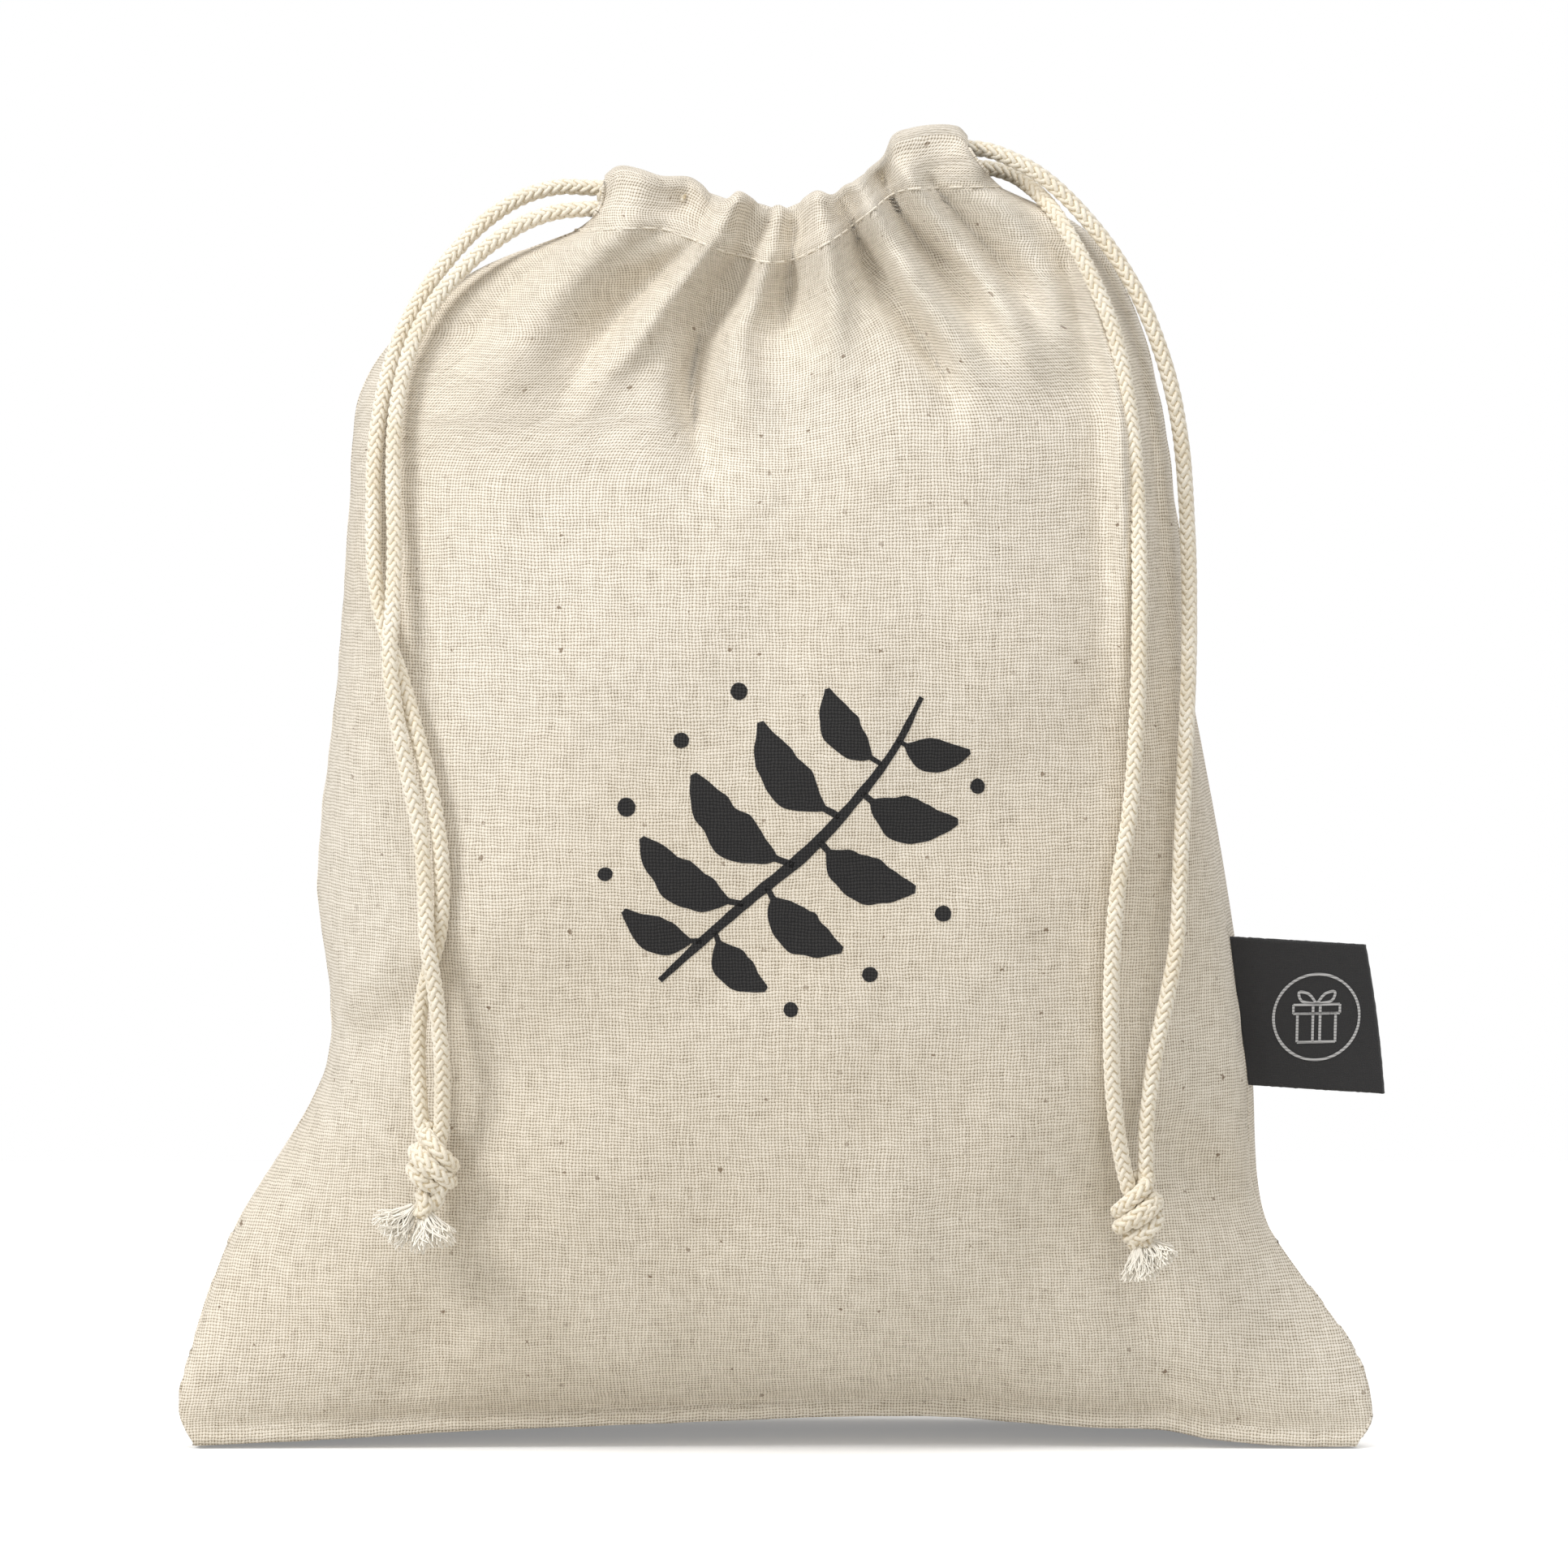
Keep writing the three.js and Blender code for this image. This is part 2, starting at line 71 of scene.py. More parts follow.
def makeStudio():
    scene = bpy.context.scene
    target = Vector(studio["lookAt"])
    lift = math.radians(studio["elevation"])
    camData = bpy.data.cameras.new("sackCamera")
    camData.sensor_width = 36.0
    camData.lens = 36.0 * studio["distance"] / studio["fieldWidth"]
    camData.clip_end = 20.0
    cam = bpy.data.objects.new("sackCamera", camData)
    scene.collection.objects.link(cam)
    cam.location = target + Vector((0, -math.cos(lift), math.sin(lift))) * studio["distance"]
    cam.rotation_euler = (target - cam.location).to_track_quat("-Z", "Y").to_euler()
    scene.camera = cam
    world = bpy.data.worlds.new("paleRoom")
    world.use_nodes = True
    # the room lights the sack softly, and its far wall is seen as plain white
    nodes, links = world.node_tree.nodes, world.node_tree.links
    room = nodes["Background"]
    room.inputs[0].default_value = (*studio["roomColour"], 1.0)
    room.inputs[1].default_value = studio["roomStrength"]
    wall = nodes.new("ShaderNodeBackground")
    wall.inputs[0].default_value = (1.0, 1.0, 1.0, 1.0)
    wall.inputs[1].default_value = 1.0
    seen, either = nodes.new("ShaderNodeLightPath"), nodes.new("ShaderNodeMixShader")
    links.new(seen.outputs["Is Camera Ray"], either.inputs[0])
    links.new(room.outputs[0], either.inputs[1])
    links.new(wall.outputs[0], either.inputs[2])
    links.new(either.outputs[0], nodes["World Output"].inputs[0])
    scene.world = world
    scene.view_settings.view_transform = "Standard"
    half = studio["floorSize"] / 2
    floorMesh = bpy.data.meshes.new("floor")
    floorMesh.from_pydata([(-half, -half, 0), (half, -half, 0), (half, half, 0), (-half, half, 0)], [],
        [(0, 1, 2, 3)])
    floor = bpy.data.objects.new("floor", floorMesh)
    scene.collection.objects.link(floor)
    floorMat = bpy.data.materials.new("paleFloor")
    floorMat.use_nodes = True
    shader = floorMat.node_tree.nodes["Principled BSDF"]
    shader.inputs["Base Color"].default_value = (*studio["floorColour"], 1.0)
    shader.inputs["Roughness"].default_value = 0.9
    shader.inputs["Specular IOR Level"].default_value = 0.1
    shader.inputs["Emission Color"].default_value = (1.0, 1.0, 1.0, 1.0)
    shader.inputs["Emission Strength"].default_value = studio["floorGlow"]
    # it is seen as white paper, and gives less light back to the cloth above it
    tree = floorMat.node_tree
    dim, seenFloor, choose = (tree.nodes.new(kind) for kind in (
        "ShaderNodeBsdfDiffuse", "ShaderNodeLightPath", "ShaderNodeMixShader"))
    dim.inputs["Color"].default_value = (*studio["bounceColour"], 1.0)
    tree.links.new(seenFloor.outputs["Is Camera Ray"], choose.inputs[0])
    tree.links.new(dim.outputs[0], choose.inputs[1])
    tree.links.new(shader.outputs[0], choose.inputs[2])
    tree.links.new(choose.outputs[0], tree.nodes["Material Output"].inputs[0])
    floorMesh.materials.append(floorMat)
    for name, place, size, power in studio["lamps"]:
        data = bpy.data.lights.new(name, "AREA")
        data.shape = "SQUARE"
        data.size = size
        data.energy = power
        lamp = bpy.data.objects.new(name, data)
        scene.collection.objects.link(lamp)
        lamp.location = place
        lamp.rotation_euler = (target - lamp.location).to_track_quat("-Z", "Y").to_euler()
    print("studio ready")


makeStudio()


# ---------------------------------------------------------------- small helpers
def curveThrough(pairs, t):
    # cubic curve through (t, value) pairs, flat outside them, for numpy arrays
    xs = np.array([p[0] for p in pairs], float)
    ys = np.array([p[1] for p in pairs], float)
    slope = np.empty_like(ys)
    slope[1:-1] = (ys[2:] - ys[:-2]) / (xs[2:] - xs[:-2])
    slope[0] = (ys[1] - ys[0]) / (xs[1] - xs[0])
    slope[-1] = (ys[-1] - ys[-2]) / (xs[-1] - xs[-2])
    t = np.clip(np.asarray(t, float), xs[0], xs[-1])
    i = np.clip(np.searchsorted(xs, t, side="right") - 1, 0, len(xs) - 2)
    h = xs[i + 1] - xs[i]
    s = (t - xs[i]) / h
    rest = (1 - s) ** 2
    return (ys[i] * (1 + 2 * s) * rest + ys[i + 1] * s * s * (3 - 2 * s)
        + h * slope[i] * s * rest + h * slope[i + 1] * s * s * (s - 1))


def smooth(a, b, t):
    k = np.clip((np.asarray(t, float) - a) / (b - a), 0, 1)
    return k * k * (3 - 2 * k)


def meshObject(name, verts, faces, material=None, smoothShade=True):
    mesh = bpy.data.meshes.new(name)
    mesh.from_pydata([tuple(v) for v in verts], [], [tuple(f) for f in faces])
    mesh.validate()
    if smoothShade:
        mesh.polygons.foreach_set("use_smooth", [True] * len(mesh.polygons))
    if material:
        mesh.materials.append(material)
    obj = bpy.data.objects.new(name, mesh)
    bpy.context.scene.collection.objects.link(obj)
    return obj


def curveObject(name, points):
    # one open spline through the points, as dense as the cord needs
    data = bpy.data.curves.new(name, "CURVE")
    data.dimensions = "3D"
    spline = data.splines.new("POLY")
    spline.points.add(len(points) - 1)
    for point, place in zip(spline.points, points):
        point.co = (*place, 1.0)
    obj = bpy.data.objects.new(name, data)
    bpy.context.scene.collection.objects.link(obj)
    return obj


def densePath(points, step):
    # centripetal Catmull-Rom curve through the points, cut into even steps
    pts = np.array(points, float)
    pts = np.vstack([2 * pts[0] - pts[1], pts, 2 * pts[-1] - pts[-2]])
    out = []
    for k in range(1, len(pts) - 2):
        p0, p1, p2, p3 = pts[k - 1:k + 3]
        t1 = np.linalg.norm(p1 - p0) ** 0.5
        t2 = t1 + np.linalg.norm(p2 - p1) ** 0.5
        t3 = t2 + np.linalg.norm(p3 - p2) ** 0.5
        for t in np.linspace(t1, t2, 14, endpoint=False):
            a1 = (t1 - t) / t1 * p0 + t / t1 * p1
            a2 = (t2 - t) / (t2 - t1) * p1 + (t - t1) / (t2 - t1) * p2
            a3 = (t3 - t) / (t3 - t2) * p2 + (t - t2) / (t3 - t2) * p3
            b1 = (t2 - t) / t2 * a1 + t / t2 * a2
            b2 = (t3 - t) / (t3 - t1) * a2 + (t - t1) / (t3 - t1) * a3
            out.append((t2 - t) / (t2 - t1) * b1 + (t - t1) / (t2 - t1) * b2)
    out.append(pts[-2])
    out = np.array(out)
    run = np.concatenate([[0], np.cumsum(np.linalg.norm(np.diff(out, axis=0), axis=1))])
    count = max(2, int(round(run[-1] / step)) + 1)
    even = np.linspace(0, run[-1], count)
    return np.column_stack([np.interp(even, run, out[:, a]) for a in range(3)]), run[-1]


# ---------------------------------------------------------------- geometry node helpers
def newTree(name, sockets):
    tree = bpy.data.node_groups.new(name, "GeometryNodeTree")
    tree.interface.new_socket("Geometry", in_out="INPUT", socket_type="NodeSocketGeometry")
    for label, kind in sockets:
        tree.interface.new_socket(label, in_out="INPUT", socket_type=kind)
    tree.interface.new_socket("Geometry", in_out="OUTPUT", socket_type="NodeSocketGeometry")
    return tree, tree.nodes.new("NodeGroupInput"), tree.nodes.new("NodeGroupOutput")


def addNode(tree, kind, inputs=None, **settings):
    # a node with its settings, and its inputs given as values or as sockets to link
    node = tree.nodes.new(kind)
    for key, value in settings.items():
        setattr(node, key, value)
    for key, value in (inputs or {}).items():
        if isinstance(value, bpy.types.NodeSocket):
            tree.links.new(value, node.inputs[key])
        else:
            node.inputs[key].default_value = value
    return node


def math_(tree, operation, a, b=0.0, c=0.0):
    return addNode(tree, "ShaderNodeMath", {0: a, 1: b, 2: c}, operation=operation).outputs[0]


def times(tree, a, b):
    return math_(tree, "MULTIPLY", a, b)


def plus(tree, a, b):
    return math_(tree, "ADD", a, b)


def minus(tree, a, b):
    return math_(tree, "SUBTRACT", a, b)


def vmath(tree, operation, a, b=None, scale=None):
    inputs = {0: a}
    if b is not None:
        inputs[1] = b
    if scale is not None:
        inputs["Scale"] = scale
    node = addNode(tree, "ShaderNodeVectorMath", inputs, operation=operation)
    return node.outputs["Value"] if operation in ("LENGTH", "DOT_PRODUCT", "DISTANCE") else node.outputs[0]


def tubeAlong(tree, curve, sides, radius):
    # a round tube of the given number of sides round a curve
    ring = addNode(tree, "GeometryNodeCurvePrimitiveCircle", {"Resolution": sides, "Radius": radius})
    return addNode(tree, "GeometryNodeCurveToMesh", {"Curve": curve, "Profile Curve": ring.outputs[0],
        "Fill Caps": True}).outputs[0]


def finishTree(tree, geometry, material, out):
    real = addNode(tree, "GeometryNodeRealizeInstances", {0: geometry})
    shaded = addNode(tree, "GeometryNodeSetMaterial", {"Geometry": real.outputs[0], "Material": material})
    tree.links.new(shaded.outputs[0], out.inputs[0])


def writeUv(obj, flat):
    # flat holds one pair of lengths, in metres, for each vertex of the mesh
    layer = obj.data.uv_layers.new(name="flatCloth")
    corner = np.empty(len(obj.data.loops), np.int32)
    obj.data.loops.foreach_get("vertex_index", corner)
    layer.data.foreach_set("uv", flat[corner].ravel())


def runTree(source, tree, values, name):
    # evaluates the tree on the source and returns its result as a plain mesh object
    modifier = source.modifiers.new("make", "NODES")
    modifier.node_group = tree
    for item in tree.interface.items_tree:
        if item.in_out == "INPUT" and item.name in values:
            modifier[item.identifier] = values[item.name]
    graph = bpy.context.evaluated_depsgraph_get()
    mesh = bpy.data.meshes.new_from_object(source.evaluated_get(graph), depsgraph=graph)
    bpy.data.objects.remove(source)
    mesh.name = name
    result = bpy.data.objects.new(name, mesh)
    bpy.context.scene.collection.objects.link(result)
    return result


# ---------------------------------------------------------------- shader helpers
def shaderGroup(name, inputs, outputs):
    group = bpy.data.node_groups.new(name, "ShaderNodeTree")
    for label, kind, value in inputs:
        socket = group.interface.new_socket(label, in_out="INPUT", socket_type=kind)
        if value is not None:
            socket.default_value = value
    for label, kind in outputs:
        group.interface.new_socket(label, in_out="OUTPUT", socket_type=kind)
    return group, group.nodes.new("NodeGroupInput").outputs, group.nodes.new("NodeGroupOutput").inputs


def mixColour(tree, factor, a, b, blend="MIX"):
    node = tree.nodes.new("ShaderNodeMix")
    node.data_type = "RGBA"
    node.blend_type = blend
    for socket, value in ((node.inputs[0], factor), (node.inputs[6], a), (node.inputs[7], b)):
        if isinstance(value, bpy.types.NodeSocket):
            tree.links.new(value, socket)
        elif isinstance(value, tuple):
            socket.default_value = (*value, 1.0)
        else:
            socket.default_value = value
    return node.outputs[2]


def ramp(tree, value, low, high, outLow=0.0, outHigh=1.0):
    node = addNode(tree, "ShaderNodeMapRange", {0: value, 1: low, 2: high, 3: outLow, 4: outHigh},
        interpolation_type="SMOOTHSTEP")
    return node.outputs[0]


def noiseOf(tree, vector, scale, detail=2.0, rough=0.5):
    return addNode(tree, "ShaderNodeTexNoise", {"Vector": vector, "Scale": scale, "Detail": detail,
        "Roughness": rough}).outputs[0]


def fromSrgb(r, g, b):
    def straight(c):
        c /= 255
        return c / 12.92 if c <= 0.04045 else ((c + 0.055) / 1.055) ** 2.4
    return straight(r), straight(g), straight(b)


def newMaterial(name, roughness, sheen=0.0, specular=0.3):
    mat = bpy.data.materials.new(name)
    mat.use_nodes = True
    shader = mat.node_tree.nodes["Principled BSDF"]
    shader.inputs["Roughness"].default_value = roughness
    shader.inputs["Specular IOR Level"].default_value = specular
    shader.inputs["Sheen Weight"].default_value = sheen
    shader.inputs["Sheen Roughness"].default_value = 0.6
    return mat, mat.node_tree, shader


def linkBump(tree, shader, height, distance, strength=1.0):
    bump = addNode(tree, "ShaderNodeBump", {"Height": height, "Distance": distance, "Strength": strength})
    tree.links.new(bump.outputs[0], shader.inputs["Normal"])


# ---------------------------------------------------------------- plain weave, shared by the cloth pieces
weave = {"pitch": 0.54 * mm, "ribbonPitch": 0.26 * mm}


def makeWeaveGroup():
    group, given, out = shaderGroup(
        "plainWeave",
        [("UV", "NodeSocketVector", None), ("Pitch", "NodeSocketFloat", weave["pitch"])],
        [("Height", "NodeSocketFloat"), ("Holes", "NodeSocketFloat"), ("Threads", "NodeSocketFloat"),
            ("Flecks", "NodeSocketFloat")])
    wander = addNode(group, "ShaderNodeTexNoise", {"Vector": given["UV"], "Scale": 55.0, "Detail": 2.0})
    shift = vmath(group, "SUBTRACT", wander.outputs[1], (0.5, 0.5, 0.5))
    bent = vmath(group, "ADD", given["UV"], vmath(group, "SCALE", shift, scale=0.0016))
    jitter = addNode(group, "ShaderNodeTexNoise", {"Vector": given["UV"], "Scale": 620.0, "Detail": 1.0})
    jitter = vmath(group, "SUBTRACT", jitter.outputs[1], (0.5, 0.5, 0.5))
    bent = vmath(group, "ADD", bent, vmath(group, "SCALE", jitter, scale=0.00042))
    cells = vmath(group, "DIVIDE", bent, addNode(group, "ShaderNodeCombineXYZ", {
        0: given["Pitch"], 1: given["Pitch"], 2: 1.0}).outputs[0])
    parts = addNode(group, "ShaderNodeSeparateXYZ", {0: cells})
    x, y = parts.outputs[0], parts.outputs[1]
    column, row = math_(group, "FLOOR", x), math_(group, "FLOOR", y)
    fx, fy = math_(group, "FRACT", x), math_(group, "FRACT", y)

    def round_(f):
        # height across one thread, 1 in the middle and 0 at its edges
        away = times(group, minus(group, f, 0.5), 2.0)
        return minus(group, 1.0, times(group, away, away))

    parity = times(group, math_(group, "PINGPONG", plus(group, column, row), 1.0), 2.0)
    sign = minus(group, parity, 1.0)
    warp, weft = round_(fx), round_(fy)
    crossWarp = times(group, times(group, sign, weft), 0.45)
    warpHeight = plus(group, warp, crossWarp)
    weftHeight = minus(group, weft, times(group, times(group, sign, warp), 0.45))

    # every thread is a little thicker or thinner than the next, and varies along its length
    warpId = addNode(group, "ShaderNodeCombineXYZ", {
        0: times(group, column, 0.713), 1: times(group, y, 0.11), 2: 3.0}).outputs[0]
    weftId = addNode(group, "ShaderNodeCombineXYZ", {
        0: times(group, x, 0.11), 1: times(group, row, 0.713), 2: 11.0}).outputs[0]
    warpSlub, weftSlub = noiseOf(group, warpId, 1.0, 1.0), noiseOf(group, weftId, 1.0, 1.0)
    warpHeight = plus(group, warpHeight, times(group, warpSlub, 0.5))
    weftHeight = plus(group, weftHeight, times(group, weftSlub, 0.5))
    height = math_(group, "MAXIMUM", warpHeight, weftHeight)
    group.links.new(height, out["Height"])
    open_ = plus(group, times(group, warp, warpSlub), times(group, weft, weftSlub))
    group.links.new(ramp(group, open_, 0.46, 0.16), out["Holes"])
    group.links.new(times(group, plus(group, warpSlub, weftSlub), 0.5), out["Threads"])

    # bits of seed husk caught in the yarn: rare, short and turned this way and that
    ragged = vmath(group, "ADD", given["UV"], vmath(group, "SCALE", addNode(group, "ShaderNodeTexNoise", {
        "Vector": given["UV"], "Scale": 1400.0, "Detail": 1.0}).outputs[1], scale=0.0009))
    husk = addNode(group, "ShaderNodeTexVoronoi", {"Vector": ragged, "Scale": 150.0, "Randomness": 1.0},
        voronoi_dimensions="2D")
    chance = addNode(group, "ShaderNodeSeparateColor", {0: husk.outputs["Color"]})
    size = math_(group, "MULTIPLY_ADD", chance.outputs[2], 0.05, 0.022)
    dot = ramp(group, math_(group, "DIVIDE", husk.outputs["Distance"], size), 1.1, 0.7)
    rare = ramp(group, chance.outputs[0], 0.62, 0.64)
    dense = ramp(group, chance.outputs[1], 0.2, 1.0, 0.25, 1.0)
    group.links.new(times(group, times(group, dot, rare), dense), out["Flecks"])
    return group


weaveGroup = makeWeaveGroup()


def placeWeave(tree, pitch):
    uv = addNode(tree, "ShaderNodeUVMap", uv_map="flatCloth").outputs[0]
    woven = tree.nodes.new("ShaderNodeGroup")
    woven.node_tree = weaveGroup
    woven.inputs["Pitch"].default_value = pitch
    tree.links.new(uv, woven.inputs["UV"])
    return woven


def makeClothMaterial(name, light, shade):
    mat, tree, shader = newMaterial(name, 0.92, sheen=0.15, specular=0.15)
    woven = placeWeave(tree, weave["pitch"])
    place = addNode(tree, "ShaderNodeTexCoord").outputs["Object"]
    broad = noiseOf(tree, place, 14.0, 3.0)
    colour = mixColour(tree, ramp(tree, broad, 0.3, 0.7), shade, light)
    threadTone = mixColour(tree, ramp(tree, woven.outputs["Threads"], 0.35, 0.65), (0.955, 0.945, 0.93),
        (1.02, 1.015, 1.01))
    colour = mixColour(tree, 1.0, colour, threadTone, "MULTIPLY")
    # painted shade: the weave's low points are darkened and yellowed, and its raised threads a little
    # lightened, as shade falls between the threads
    low = ramp(tree, woven.outputs["Height"], 0.7, 1.8)
    colour = mixColour(tree, 1.0, colour, mixColour(tree, low, (0.72, 0.68, 0.605), (1.06, 1.06, 1.06)),
        "MULTIPLY")
    # painted shade: the gaps between thin threads are painted dark brown, standing in for the shaded inside
    # seen through them
    colour = mixColour(tree, times(tree, woven.outputs["Holes"], 0.82), colour, fromSrgb(96, 80, 56))
    colour = mixColour(tree, times(tree, woven.outputs["Flecks"], 0.75), colour, fromSrgb(104, 78, 48))
    tree.links.new(colour, shader.inputs["Base Color"])
    linkBump(tree, shader, woven.outputs["Height"], 0.00011, 0.9)
    return mat


clothMaterial = makeClothMaterial("rawCotton", fromSrgb(238, 232, 221), fromSrgb(231, 223, 209))
print("cloth material ready")


# ---------------------------------------------------------------- braided cords
cordMake = {"pitch": 10.4 * mm, "middle": 0.84 * mm, "wave": 0.12 * mm, "yarn": 0.46 * mm, "yarns": 12,
    "stepsPerPitch": 24}


def makeCordMaterial(name, light, shade, deep):
    mat, tree, shader = newMaterial(name, 0.88, sheen=0.25, specular=0.2)
    place = addNode(tree, "ShaderNodeTexCoord").outputs["Object"]
    tone = noiseOf(tree, place, 160.0, 3.0)
    fibre = noiseOf(tree, place, 4200.0, 3.0, 0.65)
    crown = addNode(tree, "ShaderNodeAttribute", attribute_name="crown").outputs["Fac"]
    colour = mixColour(tree, ramp(tree, tone, 0.32, 0.68), shade, light)
    # painted shade: where a yarn dips under its neighbours it is darkened towards the third colour; the fibre
    # noise below uses that colour as a random tone
    colour = mixColour(tree, ramp(tree, crown, 0.35, -0.35), colour, deep)
    colour = mixColour(tree, ramp(tree, fibre, 0.62, 0.38, 0.0, 0.28), colour, deep)
    tree.links.new(colour, shader.inputs["Base Color"])
    linkBump(tree, shader, fibre, 0.00012, 0.6)
    return mat


# the third colour is the painted shade of the braid's hollows, and also the darker fibre tone
cordMaterial = makeCordMaterial("cottonCord", fromSrgb(250, 244, 230), fromSrgb(241, 232, 213),
    fromSrgb(205, 189, 158))


def makeBraidTree():
    # yarns laid round a curve, half of them each way, each passing over two and under two
    tree, given, out = newTree("braid", [("Pitch", "NodeSocketFloat"), ("Middle", "NodeSocketFloat"),
        ("Wave", "NodeSocketFloat"), ("Yarn", "NodeSocketFloat"),
        ("Step", "NodeSocketFloat"), ("Yarns", "NodeSocketInt"),
        ("Finish", "NodeSocketMaterial")])
    g = given.outputs
    even = addNode(tree, "GeometryNodeResampleCurve", {"Curve": g["Geometry"], "Length": g["Step"]},
        mode="LENGTH")
    # the position and frame of the middle line are kept before the copies move
    held = even.outputs[0]
    for name, kind, source in (
            ("lineTangent", "FLOAT_VECTOR", addNode(tree, "GeometryNodeInputTangent").outputs[0]),
            ("lineNormal", "FLOAT_VECTOR", addNode(tree, "GeometryNodeInputNormal").outputs[0]),
            ("lineLength", "FLOAT", addNode(tree, "GeometryNodeSplineParameter").outputs["Length"])):
        held = addNode(tree, "GeometryNodeStoreNamedAttribute",
            {"Geometry": held, "Name": name, "Value": source},
            data_type=kind, domain="POINT").outputs[0]
    copies = addNode(tree, "GeometryNodeDuplicateElements", {"Geometry": held, "Amount": g["Yarns"]},
        domain="SPLINE")
    index = copies.outputs["Duplicate Index"]
    held = addNode(tree, "GeometryNodeStoreNamedAttribute", {"Geometry": copies.outputs[0], "Name": "copy",
        "Value": index},
        data_type="FLOAT", domain="CURVE").outputs[0]

    def kept(name, kind="FLOAT"):
        return addNode(tree, "GeometryNodeInputNamedAttribute", {"Name": name}, data_type=kind).outputs[0]

    copy = kept("copy")
    half = times(tree, g["Yarns"], 0.5)
    way = minus(tree, times(tree, math_(tree, "LESS_THAN", copy, half), 2.0), 1.0)
    phase = math_(tree, "DIVIDE", times(tree, copy, 2 * math.pi), half)
    turn = times(tree, math_(tree, "DIVIDE", kept("lineLength"), g["Pitch"]), 2 * math.pi)
    angle = plus(tree, times(tree, way, turn), phase)
    # the two lays come to the top in turn round the cord, which stacks the V marks along it
    over = math_(tree, "COSINE", math_(tree, "MULTIPLY_ADD", angle, times(tree, half, 0.5), math.pi / 4))
    reach = math_(tree, "MULTIPLY_ADD", times(tree, way, over), g["Wave"], g["Middle"])
    tangent, normal = kept("lineTangent", "FLOAT_VECTOR"), kept("lineNormal", "FLOAT_VECTOR")
    across = vmath(tree, "CROSS_PRODUCT", tangent, normal)
    offset = vmath(tree, "ADD", vmath(tree, "SCALE", normal, scale=math_(tree, "COSINE", angle)),
        vmath(tree, "SCALE", across, scale=math_(tree, "SINE", angle)))
    moved = addNode(tree, "GeometryNodeSetPosition", {"Geometry": held,
        "Offset": vmath(tree, "SCALE", offset, scale=reach)})
    crowned = addNode(tree, "GeometryNodeStoreNamedAttribute", {
        "Geometry": moved.outputs[0], "Name": "crown", "Value": times(tree, way, over)},
        data_type="FLOAT", domain="POINT")
    finishTree(tree, tubeAlong(tree, crowned.outputs[0], 6, g["Yarn"]), g["Finish"], out)
    return tree


braidTree = makeBraidTree()


def braidAlong(name, points):
    return runTree(curveObject(name, points), braidTree, {
        "Pitch": cordMake["pitch"], "Middle": cordMake["middle"], "Wave": cordMake["wave"],
        "Yarn": cordMake["yarn"], "Step": cordMake["pitch"] / cordMake["stepsPerPitch"],
        "Yarns": cordMake["yarns"], "Finish": cordMaterial}, name)


# ---------------------------------------------------------------- free drawcords
def scaled(points):
    return np.array(points, float) * unit


